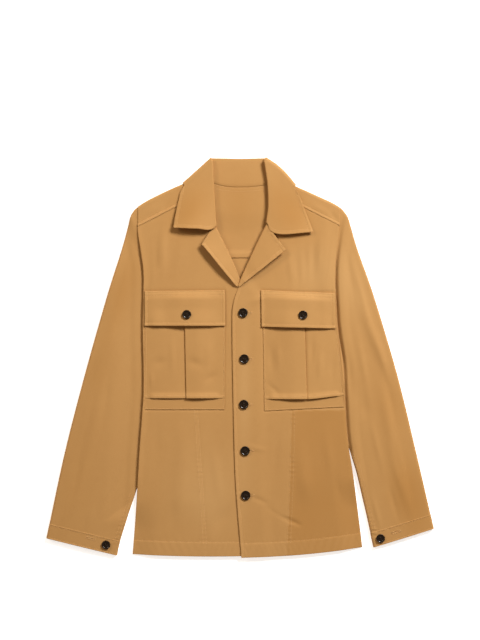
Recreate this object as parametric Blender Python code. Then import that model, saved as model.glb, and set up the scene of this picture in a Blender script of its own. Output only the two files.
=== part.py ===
"""Cotton overshirt laid flat, front up, with its sleeves down along its sides.

X runs to the right, Y towards the collar and Z up, with the floor at zero. The tables and sizes below are in
millimetres, left and right are as seen from above, and the meshes are in metres.
"""

import math
from collections import namedtuple

import bmesh
import bpy
import numpy as np

MM = 0.001
FINE_STEPS = 240
SIDES = {"left": -1.0, "right": 1.0}

# Cloth thicknesses, and the gaps between two pieces at a seam, between middle lines at the neck and at folds
CLOTH = 1.2
COLLAR_CLOTH = 1.6
FLAP_CLOTH = 1.8
CUFF_CLOTH = 1.8
GAP = 0.3
NECK_GAP = 1.2
FOLD_GAP = 0.85
LAYER = CLOTH + GAP

# Heights of the fronts' underside over the floor
MIDDLE_LOFT = 6.6
SLEEVE_LOFT = 7.4
LOFT_FROM = 40.0
LOFT_RUN = 45.0

# Where each front comes down to the back at its side seam, below the sleeve
DROOP_FROM = {"left": -262.0, "right": -222.0}
DROOP_RUN = 60.0
DROOP_WIDTH = 45.0

# The back, inside the fronts' outline, with a hem that rises to the right and sags in the middle
BACK_INSET = 2.0
YOKE_SEAM = 186.4
BACK_HEM = -364.0
BACK_HEM_RISE = 12.5
BACK_HEM_SAG = 7.0

# The right front over the left one
OVERLAP_CLEAR = 2.0
OVERLAP_RUN = 24.0

# Sleeve tubes, pressed flat into a top layer and an under layer
NESTED_RISE = 4.4
FREE_RISE = 7.2
FREE_FROM = 5.0
FREE_RUN = 40.0
SLEEVE_CROWN = 1.2
SLEEVE_COLUMNS = 9
CUFF_LENGTH = 28.0
SLEEVE_CLEAR = 26.0
SLEEVE_CLIMB = 14.0
EXIT_RUN = 45.0

# Chest pockets, each with one knife pleat that settles to the flat over PLEAT_RUN
POCKET_TOP_UNDER_FLAP = 20.0
PLEAT_DEPTH = 13.0
PLEAT_STEP = 4.0
PLEAT_RUN = 40.0
POCKET_PUFF = 1.0
SLIT_LIFT = 1.6
BAND_TUCK = 4.0

# Pocket flaps: they climb onto the pocket below their seam, and their free edge lifts in low waves
FLAP_RISE_RUN = 16.0
FLAP_LIFT = 1.8
FLAP_LIFT_FROM = 30.0
FLAP_LIFT_RUN = 35.0
FLAP_WAVE = 0.7
FLAP_WAVE_LENGTH = 82.0
FLAP_PLEAT_LEAD = 22.0
FLAP_PLEAT_CLIMB = 16.0
FLAP_PLEAT_FLAT = 12.0

# Buttons: a turned disc with a raised rim
BUTTON_THICKNESS = 3.0
BUTTON_SIDES = 16
FRONT_BUTTON = 17.5
FLAP_BUTTON = 16.5
CUFF_BUTTON = 16.0

# Colours, linear
TAN = (0.527, 0.262, 0.087, 1.0)
HORN = (0.016, 0.012, 0.010, 1.0)

Point = namedtuple("Point", "x y")
Rib = namedtuple("Rib", "neck_x neck_y roll_x roll_y edge_x edge_y roll_lift middle_lift edge_lift bow")
BackRib = namedtuple("BackRib", "neck_x neck_y roll_x roll_y edge_x edge_y")
Lapel = namedtuple("Lapel", "roll_x roll_y edge_x edge_y roll_lift edge_lift")
Pocket = namedtuple("Pocket", "outer_x inner_x pleat_x y")
Flap = namedtuple("Flap", "outer_x outer_y inner_x inner_y")
Fold = namedtuple("Fold", "x y angle length width height")

# Outline of the fronts at the armhole and the side, from shoulder to hem
SIDE_EDGE = {
    "left": [
        Point(-196.5, 271.0), Point(-191.5, 255.0), Point(-189.9, 232.5), Point(-184.3, 196.0),
        Point(-179.5, 152.0), Point(-181.0, 58.0), Point(-179.0, -47.0), Point(-182.0, -104.0),
        Point(-187.0, -172.0), Point(-192.5, -265.0), Point(-200.0, -365.5),
    ],
    "right": [
        Point(194.0, 269.0), Point(187.5, 255.0), Point(181.7, 218.0), Point(176.5, 157.0),
        Point(179.5, 80.0), Point(183.0, 44.0), Point(192.0, -14.0), Point(195.0, -80.0),
        Point(199.4, -147.0), Point(209.3, -209.0), Point(220.4, -291.0), Point(227.9, -352.5),
    ],
}

# Shoulder line, where the yoke folds over, from the armhole to the neck
SHOULDER = {
    "left": [
        Point(-196.5, 272.5), Point(-189.0, 279.5), Point(-164.0, 296.5), Point(-104.0, 322.0),
        Point(-57.0, 341.0),
    ],
    "right": [
        Point(194.0, 271.0), Point(187.0, 277.5), Point(146.0, 300.0), Point(104.0, 318.5),
        Point(57.0, 340.0),
    ],
}
SEAM_END_CLEAR = 5.0
FORWARD_SEAM_END = {"left": Point(-190.3, 244.5), "right": Point(185.5, 246.0)}

# Collar ribs of each wing, from the front end up to the side of the neck
WING = {
    "left": [
        Rib(-53.0, 246.5, -46.0, 245.5, -123.7, 241.5, 4.0, 10.0, 6.0, -5.0),
        Rib(-58.5, 264.0, -48.0, 268.0, -120.8, 262.0, 3.5, 5.0, 3.0, -1.0),
        Rib(-61.8, 286.0, -50.0, 300.0, -115.5, 288.0, 3.0, 2.0, 1.0, 0.0),
        Rib(-63.0, 309.0, -51.5, 335.0, -110.5, 309.0, 3.0, 1.2, 0.6, 0.0),
        Rib(-55.4, 338.9, -50.5, 365.0, -104.0, 321.5, 3.0, 1.2, 0.6, 0.0),
    ],
    "right": [
        Rib(57.0, 254.0, 50.5, 251.0, 136.0, 234.0, 4.0, 6.5, 4.0, -17.0),
        Rib(61.5, 268.0, 53.5, 275.0, 128.5, 255.0, 3.5, 4.0, 2.0, -5.0),
        Rib(63.5, 287.0, 53.5, 299.0, 120.5, 275.0, 3.0, 2.0, 1.0, -1.0),
        Rib(63.5, 307.0, 51.0, 332.0, 112.0, 299.0, 3.0, 1.2, 0.6, 0.0),
        Rib(55.4, 337.9, 45.5, 365.0, 101.0, 318.0, 3.0, 1.2, 0.6, 0.0),
    ],
}
# Collar ribs across the back of the neck, where the fall lies under the stand
BACK_COLLAR = [
    BackRib(-30.0, 321.2, -28.0, 369.0, -62.0, 299.0),
    BackRib(0.0, 318.6, 0.0, 369.0, 0.0, 289.0),
    BackRib(30.0, 320.7, 28.0, 369.0, 62.0, 298.0),
]
FALL_EDGE_MIDDLE = 289.0
FALL_EDGE_RISE = 34.0
FALL_EDGE_HALF = 107.0
FALL_MARGIN = 36.0
FALL_RUN = 18.0
BOW_POWER = 0.45

# Points along each rib of the collar, and round each turned edge
STAND_POINTS = 3
TURN_POINTS = 3
FALL_POINTS = 8

# Lapel rows from the gorge seam down to where the fronts close
LAPEL = {
    "left": [
        Lapel(-46.5, 241.0, -57.0, 234.0, 3.0, 5.0),
        Lapel(-41.5, 231.0, -71.4, 211.5, 3.0, 7.0),
        Lapel(-30.5, 209.0, -56.0, 193.0, 3.0, 8.0),
        Lapel(-17.0, 182.0, -34.5, 166.5, 2.2, 7.0),
        Lapel(-4.5, 155.0, -10.5, 137.0, 0.6, 2.5),
    ],
    "right": [
        Lapel(51.0, 246.5, 64.0, 228.5, 3.0, 5.0),
        Lapel(44.5, 235.0, 85.2, 200.7, 3.0, 6.0),
        Lapel(33.0, 211.0, 62.0, 182.2, 3.0, 6.0),
        Lapel(18.5, 181.0, 36.0, 161.5, 2.2, 4.5),
        Lapel(3.0, 148.0, 8.5, 139.8, 0.6, 1.5),
    ],
}

# Front edges below the lapels: the left one is hidden, the right one shows
FRONT_EDGE = {
    "left": [
        Point(10.0, 133.0), Point(22.0, 112.0), Point(26.0, 90.0), Point(26.5, -20.0), Point(32.0, -228.0),
        Point(42.0, -371.5),
    ],
    "right": [
        Point(-3.7, 130.0), Point(-13.0, 98.0), Point(-14.7, 57.0), Point(-12.5, -86.0),
        Point(-8.4, -228.0), Point(2.4, -371.5),
    ],
}
HEM_BOW = {"left": -2.5, "right": -4.0}
HEM_BOW_POWER = 6

SLEEVE_OUTER = {
    "left": [Point(-184.0, 279.0), Point(-193.2, 271.0), Point(-200.5, 261.5), Point(-207.5, 242.0),
             Point(-220.4, 200.0), Point(-248.3, 111.0), Point(-289.2, -34.0), Point(-326.4, -179.0),
             Point(-359.9, -335.7)],
    "right": [Point(181.5, 277.0), Point(190.7, 269.5), Point(198.0, 259.0), Point(205.0, 241.0),
              Point(218.6, 200.0), Point(250.2, 111.0), Point(293.0, -34.0), Point(328.3, -179.0),
              Point(359.9, -315.3)],
}
SLEEVE_INNER = {
    "left": [Point(-90.0, 50.0), Point(-120.0, -35.0), Point(-160.0, -150.0), Point(-197.2, -257.6),
             Point(-222.3, -335.7), Point(-229.7, -367.4)],
    "right": [Point(92.0, 46.0), Point(130.0, -35.0), Point(170.0, -115.0), Point(203.0, -182.0),
              Point(226.0, -268.8), Point(246.5, -352.5)],
}

# Pocket edges and pleat at the top and at the slit, and the band's lower edge
POCKET = {
    "left": [Pocket(-176.5, -28.0, -102.5, 124.0), Pocket(-177.0, -28.5, -98.8, -75.0)],
    "right": [Pocket(175.0, 42.0, 118.0, 123.5), Pocket(193.6, 45.0, 123.3, -76.5)],
}
BAND_BOTTOM = {"left": Flap(-177.0, -96.0, -29.0, -96.0), "right": Flap(193.6, -91.0, 45.3, -98.4)}
FLAP_TOP = {"left": Flap(-177.6, 124.0, -28.0, 124.0), "right": Flap(176.3, 121.0, 38.7, 126.3)}
FLAP_BOTTOM = {"left": Flap(-177.6, 59.5, -27.5, 59.5), "right": Flap(178.0, 54.5, 40.0, 57.8)}

FRONT_BUTTONS = [
    Point(5.6, 84.0), Point(7.8, -1.7), Point(7.1, -86.3), Point(9.5, -172.6), Point(10.6, -255.2),
]
FLAP_BUTTONS = {"left": Point(-98.8, 81.0), "right": Point(116.8, 80.0)}
CUFF_BUTTONS = {"left": Point(-249.0, -347.0), "right": Point(261.3, -335.2)}

# Soft ridges pressed into the laid cloth, fading out at their length and width
FOLD_TAPER = 4.8
FRONT_FOLDS = [
    Fold(158.0, 185.0, 88.0, 150.0, 22.0, 2.0),
    Fold(-150.0, 190.0, 80.0, 120.0, 20.0, 1.6),
    Fold(-110.0, -220.0, 84.0, 210.0, 34.0, 1.8),
    Fold(120.0, -240.0, 97.0, 190.0, 30.0, 2.0),
]
SLEEVE_FOLDS = [
    Fold(-246.0, 20.0, 66.0, 150.0, 22.0, 2.4),
    Fold(-270.0, -120.0, 78.0, 170.0, 24.0, 2.0),
    Fold(-300.0, -250.0, 70.0, 120.0, 20.0, 1.8),
    Fold(252.0, 30.0, 112.0, 150.0, 22.0, 2.4),
    Fold(276.0, -120.0, 100.0, 170.0, 24.0, 2.2),
    Fold(300.0, -235.0, 108.0, 110.0, 20.0, 1.8),
]


def smooth(t):
    t = np.clip(t, 0.0, 1.0)
    return t * t * (3.0 - 2.0 * t)


def curve(rows, count):
    """Evenly numbered points on a smooth curve through all rows, whatever their columns."""
    rows = np.array(rows, float)
    padded = np.vstack([2 * rows[0] - rows[1], rows, 2 * rows[-1] - rows[-2]])
    at = np.linspace(0.0, len(rows) - 1.0, count)
    start = np.minimum(at.astype(int), len(rows) - 2)
    t = (at - start)[:, None]
    a, b, c, d = (padded[start + k] for k in range(4))
    return 0.5 * (2 * b + (c - a) * t + (2 * a - 5 * b + 4 * c - d) * t**2 + (3 * b - a - 3 * c + d) * t**3)


def walk(points, distances):
    """Points at the given distances along a line of points."""
    steps = np.linalg.norm(np.diff(points, axis=0), axis=1)
    run = np.concatenate([[0.0], np.cumsum(steps)])
    return np.stack([np.interp(distances, run, points[:, k]) for k in range(points.shape[1])], axis=1)


def length(points):
    return float(np.linalg.norm(np.diff(points, axis=0), axis=1).sum())


def even(rows, count):
    """Points at equal distances along the smooth curve through rows."""
    fine = curve(rows, FINE_STEPS)
    return walk(fine, np.linspace(0.0, length(fine), count))


def edge_x(rows, y):
    """Where an edge that runs downwards lies at each height on the page."""
    fine = curve(rows, FINE_STEPS)
    return np.interp(-np.asarray(y, float), -fine[:, 1], fine[:, 0])


def ridges(folds, x, y):
    """Height added by soft ridges, each one long, narrow and rounded."""
    total = np.zeros_like(np.asarray(x, float))
    for fold in folds:
        turn = math.radians(fold.angle)
        along = (x - fold.x) * math.cos(turn) + (y - fold.y) * math.sin(turn)
        across = (y - fold.y) * math.cos(turn) - (x - fold.x) * math.sin(turn)
        reach = (along / fold.length) ** 2 + (across / fold.width) ** 2
        total = total + fold.height * np.exp(-FOLD_TAPER * reach)
    return total


def inside(side, x, y):
    """How far a point lies inside the fronts' outline, measured across."""
    return -SIDES[side] * (x - edge_x(SIDE_EDGE[side], y))


def neck_edge(side):
    """The front's edge along the neck seam and the lapel's roll, a gap away from what it is sewn to."""
    shift = SIDES[side] * NECK_GAP
    neck = [Point(rib.neck_x + shift, rib.neck_y) for rib in reversed(WING[side][:-1])]
    roll = [Point(row.roll_x + shift, row.roll_y) for row in LAPEL[side]]
    return neck + roll + FRONT_EDGE[side]


def left_under(x, y):
    """Underside of the left front, and of everything at that level."""
    x, y = np.asarray(x, float), np.asarray(y, float)
    under = MIDDLE_LOFT + (SLEEVE_LOFT - MIDDLE_LOFT) * smooth((np.abs(x) - LOFT_FROM) / LOFT_RUN)
    under = under + ridges(FRONT_FOLDS, x, y)
    for side, sign in SIDES.items():
        seam = LAYER + (MIDDLE_LOFT - LAYER) * smooth(inside(side, x, y) / DROOP_WIDTH)
        share = smooth((DROOP_FROM[side] - y) / DROOP_RUN)
        under = np.where(x * sign > 0, under + (np.minimum(seam, under) - under) * share, under)
    return under


def right_under(x, y):
    """Underside of the right front, raised where it laps over the left one."""
    lap = edge_x(neck_edge("left"), y)
    past = np.asarray(x, float) - lap - OVERLAP_CLEAR
    return left_under(x, y) + LAYER * (1.0 - smooth(past / OVERLAP_RUN))


UNDER = {"left": left_under, "right": right_under}


def yoke_lift(x, y):
    """How far the yoke's back layer is raised over the collar's fall."""
    fall_edge = FALL_EDGE_MIDDLE + FALL_EDGE_RISE * (np.asarray(x, float) / FALL_EDGE_HALF) ** 2
    return (COLLAR_CLOTH + GAP) * smooth((np.asarray(y, float) - fall_edge + FALL_MARGIN) / FALL_RUN)


def normals_of(line):
    """Unit normals of a plan line, to its left."""
    run = np.gradient(line, axis=0)
    run /= np.linalg.norm(run, axis=1)[:, None]
    return np.stack([-run[:, 1], run[:, 0]], axis=1)


def fold_rows(low, high, outward, count):
    """Rows that carry a sheet from its low layer round a half circle to its high layer."""
    middle, radius = (low + high) / 2.0, (high[:, 2] - low[:, 2]) / 2.0
    rows = []
    for angle in np.linspace(-math.pi / 2, math.pi / 2, count + 2)[1:-1]:
        row = middle.copy()
        row[:, :2] += (radius * math.cos(angle))[:, None] * outward
        row[:, 2] += radius * math.sin(angle)
        rows.append(row)
    return rows


def finish(obj, colour, roughness):
    material = bpy.data.materials.new(obj.name)
    material.use_nodes = True
    shader = material.node_tree.nodes["Principled BSDF"]
    shader.inputs["Base Color"].default_value = colour
    shader.inputs["Roughness"].default_value = roughness
    shader.inputs["Metallic"].default_value = 0.0
    material.diffuse_color = colour
    obj.data.materials.append(material)


def new_object(name, bm):
    mesh = bpy.data.meshes.new(name)
    bm.to_mesh(mesh)
    bm.free()
    obj = bpy.data.objects.new(name, mesh)
    bpy.context.scene.collection.objects.link(obj)
    mesh.shade_smooth()
    return obj


def cloth(name, grids, thickness, ring=False):
    """A sewn piece: one wall of even thickness through grids of points, joined where their points meet."""
    bm = bmesh.new()
    for grid in grids:
        rows, columns = len(grid), len(grid[0])
        verts = [[bm.verts.new(np.array(point) * MM) for point in row] for row in grid]
        for i in range(rows - 1):
            for j in range(columns if ring else columns - 1):
                k = (j + 1) % columns
                bm.faces.new((verts[i][j], verts[i][k], verts[i + 1][k], verts[i + 1][j]))
    bmesh.ops.remove_doubles(bm, verts=bm.verts, dist=0.01 * MM)
    bmesh.ops.recalc_face_normals(bm, faces=bm.faces)
    obj = new_object(name, bm)
    wall = obj.modifiers.new("Wall", "SOLIDIFY")
    wall.thickness = thickness * MM
    wall.offset = 0.0
    wall.use_quality_normals = True
    finish(obj, TAN, 0.85)
    return obj


def raise_points(plan, under, thickness, lift=0.0):
    """Plan points set on a surface, at the middle of a wall of that thickness."""
    z = under(plan[..., 0], plan[..., 1]) + lift + thickness / 2.0
    return np.concatenate([plan, z[..., None]], axis=-1)


def between(start, end, count):
    """Rows of points, each row straight from a start point to an end point."""
    share = np.linspace(0.0, 1.0, count)[None, :, None]
    return start[:, None, :] * (1.0 - share) + end[:, None, :] * share


def straight(ends, count):
    """Points from an edge's outer end to its inner end."""
    start, end = np.array([[ends.outer_x, ends.outer_y]]), np.array([[ends.inner_x, ends.inner_y]])
    return between(start, end, count)[0]


def floor(x, y):
    return np.zeros_like(np.asarray(x, float))


def back():
    rows, columns = 16, 7
    y = np.linspace(YOKE_SEAM - GAP / 2, BACK_HEM, rows)
    left = np.stack([edge_x(SIDE_EDGE["left"], y) + BACK_INSET, y], axis=1)
    right = np.stack([edge_x(SIDE_EDGE["right"], y) - BACK_INSET, y], axis=1)
    plan = between(left, right, columns)
    across = np.linspace(0.0, 1.0, columns)
    down = smooth(np.linspace(-2.0, 1.0, rows))
    hem = BACK_HEM_RISE * across - BACK_HEM_SAG * np.sin(math.pi * across)
    plan[..., 1] += down[:, None] * hem[None, :]
    cloth("back", [raise_points(plan, floor, CLOTH)], CLOTH)


def front(side):
    edge = neck_edge(side)
    below_seam = FORWARD_SEAM_END[side].y - SEAM_END_CLEAR
    outer = [FORWARD_SEAM_END[side]] + [point for point in SIDE_EDGE[side] if point.y < below_seam]
    rows, columns = 26, 11
    inner_line, outer_line = even(edge, rows), even(outer, rows)
    inner_line[0, 1] -= GAP
    outer_line[0, 1] -= GAP
    plan = between(inner_line, outer_line, columns)
    bow = np.sin(math.pi * np.linspace(0.0, 1.0, columns))
    down = np.linspace(0.0, 1.0, rows) ** HEM_BOW_POWER
    plan[..., 1] += HEM_BOW[side] * down[:, None] * bow[None, :]
    cloth(f"front_{side}", [raise_points(plan, UNDER[side], CLOTH)], CLOTH)


def yoke():
    shoulder_columns, back_rows, flap_rows, fold_count = 8, 7, 4, 4
    tops, flaps = [], []
    for side, sign in SIDES.items():
        line = even(SHOULDER[side], shoulder_columns)
        outward = normals_of(line) * -sign
        outward *= np.sign(outward[:, 1:2])
        low_z = yoke_lift(line[:, 0], line[:, 1])
        radius = (UNDER[side](line[:, 0], line[:, 1]) - low_z) / 2.0
        plan = line - outward * radius[:, None]
        low = raise_points(plan, yoke_lift, CLOTH)
        high = raise_points(plan, UNDER[side], CLOTH)
        corner = WING[side][-2]
        seam_start = np.array(FORWARD_SEAM_END[side])
        seam_end = np.array([corner.neck_x + sign * NECK_GAP, corner.neck_y])
        seam = between(seam_start[None], seam_end[None], shoulder_columns)[0]
        flap = raise_points(between(plan, seam, flap_rows), UNDER[side], CLOTH)
        rows = [low] + fold_rows(low, high, outward, fold_count) + [flap[:, k] for k in range(flap_rows)]
        flaps.append(rows)
        tops.append(low)
    left_top, right_top = tops[0], tops[1][::-1]
    neck = back_collar_rows()[1:-1, :2] - np.array([0.0, GAP])
    top = np.vstack([left_top, raise_points(neck, yoke_lift, CLOTH), right_top])
    across = (top[:, 0] - top[0, 0]) / (top[-1, 0] - top[0, 0])
    seam_y = YOKE_SEAM + GAP / 2
    left_x = edge_x(SIDE_EDGE["left"], seam_y) + BACK_INSET
    right_x = edge_x(SIDE_EDGE["right"], seam_y) - BACK_INSET
    seam = np.stack([left_x + (right_x - left_x) * across, np.full(len(top), seam_y)], axis=1)
    sheet = raise_points(between(seam, top[:, :2], back_rows), yoke_lift, CLOTH)
    cloth("yoke", [sheet] + flaps, CLOTH)


def stand_and_fall(neck, roll, edge, stand_z, fall_z, bow):
    """One rib of the collar, from the neck seam over the roll to the outer edge."""
    stand_share = np.linspace(0.0, 1.0, STAND_POINTS)[:, None]
    stand = neck + (roll - neck) * stand_share
    stand = np.column_stack([stand, stand_z(stand)])
    share = np.linspace(0.0, 1.0, FALL_POINTS)
    fall = roll + (edge - roll) * share[:, None]
    fall[:, 1] += bow * np.sin(math.pi * share**BOW_POWER)
    fall = np.column_stack([fall, fall_z(fall, share)])
    up = (roll - neck) / np.linalg.norm(roll - neck)
    middle, radius = (stand[-1] + fall[0]) / 2.0, (fall[0] - stand[-1]) / 2.0
    turn = [middle - radius * math.cos(angle) + np.append(up, 0.0) * abs(radius[2]) * math.sin(angle)
            for angle in np.linspace(0.0, math.pi, TURN_POINTS + 2)[1:-1]]
    return np.vstack([stand, turn, fall])


def wing_rib(side, row):
    """A rib of a wing, which lies on the front and the yoke."""
    rib = Rib(*row)
    under = UNDER[side]

    def stand_z(points):
        return under(points[:, 0], points[:, 1]) + LAYER + COLLAR_CLOTH / 2

    def fall_z(points, share):
        lift = (rib.roll_lift * (1 - share) * (1 - 2 * share) + rib.middle_lift * 4 * share * (1 - share)
                + rib.edge_lift * share * (2 * share - 1))
        return under(points[:, 0], points[:, 1]) + LAYER + COLLAR_CLOTH / 2 + np.maximum(lift, GAP)

    return stand_and_fall(np.array([rib.neck_x, rib.neck_y]), np.array([rib.roll_x, rib.roll_y]),
                          np.array([rib.edge_x, rib.edge_y]), stand_z, fall_z, rib.bow)


def back_rib(row):
    """A rib behind the neck: the stand lies on the fall, and the fall on the floor."""
    rib = BackRib(*row)

    def stand_z(points):
        return np.full(len(points), COLLAR_CLOTH * 1.5 + GAP)

    def fall_z(points, share):
        return np.full(len(points), COLLAR_CLOTH / 2)

    return stand_and_fall(np.array([rib.neck_x, rib.neck_y]), np.array([rib.roll_x, rib.roll_y]),
                          np.array([rib.edge_x, rib.edge_y]), stand_z, fall_z, 0.0)


def back_collar_rows():
    ends = [WING[side][-1][:6] for side in SIDES]
    return curve([ends[0], *BACK_COLLAR, ends[1]], 9)


def collar():
    wings, folds = {}, {}
    for side in SIDES:
        rows = curve(WING[side], 2 * len(WING[side]) + 1)
        wings[side] = [wing_rib(side, row) for row in rows]
        corner = WING[side][-1]
        low = back_rib(corner[:6])
        high = wings[side][-1]
        shoulder = even(SHOULDER[side], 8)
        outer = np.array([corner.edge_x - corner.roll_x, corner.edge_y - corner.roll_y])
        stand_out = (shoulder[-1] - shoulder[-2])[::-1] * np.array([1.0, -1.0])
        fall_out = outer[::-1] * np.array([1.0, -1.0])
        stand_out *= np.sign(stand_out[1]) / np.linalg.norm(stand_out)
        fall_out *= np.sign(fall_out[1]) / np.linalg.norm(fall_out)
        turn = np.linspace(0.0, 1.0, TURN_POINTS + 2)[1:-1]
        share = np.concatenate([np.zeros(STAND_POINTS), turn, np.ones(FALL_POINTS)])[:, None]
        outward = stand_out * (1 - share) + fall_out * share
        folds[side] = fold_rows(low, high, outward, 5)
    behind = [back_rib(row) for row in back_collar_rows()]
    ribs = wings["left"] + folds["left"][::-1] + behind + folds["right"] + wings["right"][::-1]
    cloth("collar", [ribs], COLLAR_CLOTH)


def lapel(side):
    table = np.array(LAPEL[side], float)
    at = np.linspace(0.0, len(table) - 1.0, 3 * len(table) - 2)
    columns = [np.interp(at, np.arange(len(table)), column) for column in table.T]
    rows = np.stack(columns, axis=1)
    sheet = []
    for row in rows:
        row = Lapel(*row)
        roll, edge = np.array([row.roll_x, row.roll_y]), np.array([row.edge_x, row.edge_y])
        share = np.linspace(0.0, 1.0, 7)
        fall = roll + (edge - roll) * share[:, None]
        lift = GAP + row.roll_lift + (row.edge_lift - row.roll_lift) * share
        fall = raise_points(fall, UNDER[side], CLOTH, LAYER + lift)
        start = raise_points(roll[None], UNDER[side], CLOTH)[0]
        towards = (roll - edge) / np.linalg.norm(roll - edge)
        middle, radius = (start + fall[0]) / 2.0, (fall[0] - start) / 2.0
        lead = np.append(towards, 0.0) * abs(radius[2])
        turn = [middle - radius * math.cos(angle) + lead * math.sin(angle)
                for angle in np.linspace(0.0, math.pi, TURN_POINTS + 2)[1:-1]]
        sheet.append(np.vstack([start[None], turn, fall]))
    cloth(f"lapel_{side}", [sheet], CLOTH)


def sleeve_ring(side, outer, inner, thickness):
    """A flattened ring, from the outer fold along the floor to the inner fold and back over the top."""
    across = (inner - outer) / np.linalg.norm(inner - outer)
    width = np.linalg.norm(inner - outer)

    def beside(points):
        return smooth((points[:, 1] - DROOP_FROM[side] + EXIT_RUN) / EXIT_RUN)

    def rise(points):
        free = smooth(-(inside(side, points[:, 0], points[:, 1]) + FREE_FROM) / FREE_RUN)
        free = np.maximum(free, 1.0 - beside(points))
        return NESTED_RISE + (FREE_RISE - NESTED_RISE) * free - (thickness - CLOTH)

    def base(points):
        over_back = smooth((inside(side, points[:, 0], points[:, 1]) + SLEEVE_CLEAR) / SLEEVE_CLIMB)
        return LAYER * over_back * beside(points) + thickness / 2

    ends = np.stack([outer, inner])
    outer_radius, inner_radius = rise(ends) / 2.0
    reach = np.linspace(outer_radius, width - inner_radius, SLEEVE_COLUMNS)
    flat = outer + across * reach[:, None]
    share = (reach - reach[0]) / (reach[-1] - reach[0])
    free = (rise(flat) - NESTED_RISE + thickness - CLOTH) / (FREE_RISE - NESTED_RISE)
    crown = free * (SLEEVE_CROWN * np.sin(math.pi * share) + ridges(SLEEVE_FOLDS, flat[:, 0], flat[:, 1]))
    low = np.column_stack([flat, base(flat)])
    high = np.column_stack([flat, base(flat) + rise(flat) + crown])

    def turn(bottom, top, direction):
        middle, radius = (bottom + top) / 2.0, (top[2] - bottom[2]) / 2.0
        return [middle + np.append(direction * radius * math.cos(angle), radius * math.sin(angle))
                for angle in np.linspace(-math.pi / 2, math.pi / 2, TURN_POINTS + 2)[1:-1]]

    inner_turn = turn(low[-1], high[-1], across)
    outer_turn = turn(low[0], high[0], -across)[::-1]
    return np.vstack([low, inner_turn, high[::-1], outer_turn])


def part_at_folds(ring):
    """A sleeve ring's under layer and top layer, a gap apart at both folds."""
    inner = SLEEVE_COLUMNS + TURN_POINTS // 2
    outer = inner + SLEEVE_COLUMNS + TURN_POINTS
    apart = np.array([0.0, 0.0, FOLD_GAP / 2])
    under = np.vstack([ring[outer] - apart, ring[outer + 1:], ring[:inner], ring[inner] - apart])
    top = np.vstack([ring[inner] + apart, ring[inner + 1:outer], ring[outer] + apart])
    return under, top


def sleeve(side):
    """The sleeve's two layers from inside the armhole to the cuff's seam, and the cuff."""
    outer, inner = curve(SLEEVE_OUTER[side], FINE_STEPS), curve(SLEEVE_INNER[side], FINE_STEPS)
    outer_length, inner_length = length(outer), length(inner)
    share = np.linspace(0.0, 1.0, 16)
    outer_points = walk(outer, share * (outer_length - CUFF_LENGTH - GAP))
    inner_points = walk(inner, share * (inner_length - CUFF_LENGTH - GAP))
    rings = [sleeve_ring(side, a, b, CLOTH) for a, b in zip(outer_points, inner_points)]
    under, top = zip(*[part_at_folds(ring) for ring in rings])
    cloth(f"sleeve_under_{side}", [under], CLOTH)
    cloth(f"sleeve_{side}", [top], CLOTH)
    from_edge = np.linspace(CUFF_LENGTH, 0.0, 4)
    outer_points, inner_points = walk(outer, outer_length - from_edge), walk(inner, inner_length - from_edge)
    rings = [sleeve_ring(side, a, b, CUFF_CLOTH) for a, b in zip(outer_points, inner_points)]
    cloth(f"cuff_{side}", [rings], CUFF_CLOTH, ring=True)


def pleat_section(row):
    """The pocket's section: its outer half runs under the pleat and turns back as its inner half."""
    row = Pocket(*row)
    towards = math.copysign(1.0, row.inner_x - row.outer_x)
    tuck = row.pleat_x + towards * PLEAT_DEPTH
    half = LAYER / 2.0
    angles = np.linspace(-math.pi / 2, math.pi / 2, TURN_POINTS + 2)[1:-1]
    outer_x = np.linspace(row.outer_x, tuck, 7)
    level = tuck + towards * PLEAT_STEP
    inner_x = np.concatenate([np.linspace(row.pleat_x, level, 3), np.linspace(level, row.inner_x, 6)[1:]])
    past_pleat = np.abs(inner_x - row.pleat_x) - PLEAT_DEPTH - PLEAT_STEP
    inner_z = 2 * LAYER * (1.0 - smooth(past_pleat / PLEAT_RUN))
    outer_share = np.clip((outer_x - row.outer_x) / (row.pleat_x - row.outer_x), 0.0, 1.0)
    puff_outer = POCKET_PUFF * np.sin(math.pi * outer_share)
    puff_inner = POCKET_PUFF * np.sin(math.pi * (inner_x - row.pleat_x) / (row.inner_x - row.pleat_x))
    x = np.concatenate([outer_x, tuck + towards * half * np.cos(angles), [tuck, row.pleat_x],
                        row.pleat_x - towards * half * np.cos(angles), inner_x])
    z = np.concatenate([puff_outer, half + half * np.sin(angles), [LAYER, LAYER],
                        3 * half + half * np.sin(angles), inner_z + puff_inner])
    return x, z


def pocket(side):
    top, slit = (np.array(row, float) for row in POCKET[side])
    rows = 7
    sheet = []
    for share in np.linspace(0.0, 1.0, rows):
        row = top + (slit - top) * share
        row[3] -= POCKET_TOP_UNDER_FLAP * (1.0 - share)
        x, z = pleat_section(row)
        y = np.full(len(x), row[3])
        over_band = LAYER * smooth((slit[3] + 3.0 * BAND_TUCK - y) / (2.0 * BAND_TUCK))
        gape = SLIT_LIFT * smooth(share * 6.0 - 5.0) * np.sin(math.pi * (x - row[0]) / (row[1] - row[0]))
        plan = np.stack([x, y], axis=1)
        sheet.append(raise_points(plan, UNDER[side], CLOTH, LAYER + z + over_band + gape))
    cloth(f"pocket_{side}", [sheet], CLOTH)
    tucked_top = Flap(slit[0], slit[3] + BAND_TUCK, slit[1], slit[3] + BAND_TUCK)
    columns, band_rows = 13, 4
    plan = between(straight(tucked_top, columns), straight(BAND_BOTTOM[side], columns), band_rows)
    band = raise_points(plan, UNDER[side], CLOTH, LAYER)
    cloth(f"pocket_band_{side}", [band], CLOTH)


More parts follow.
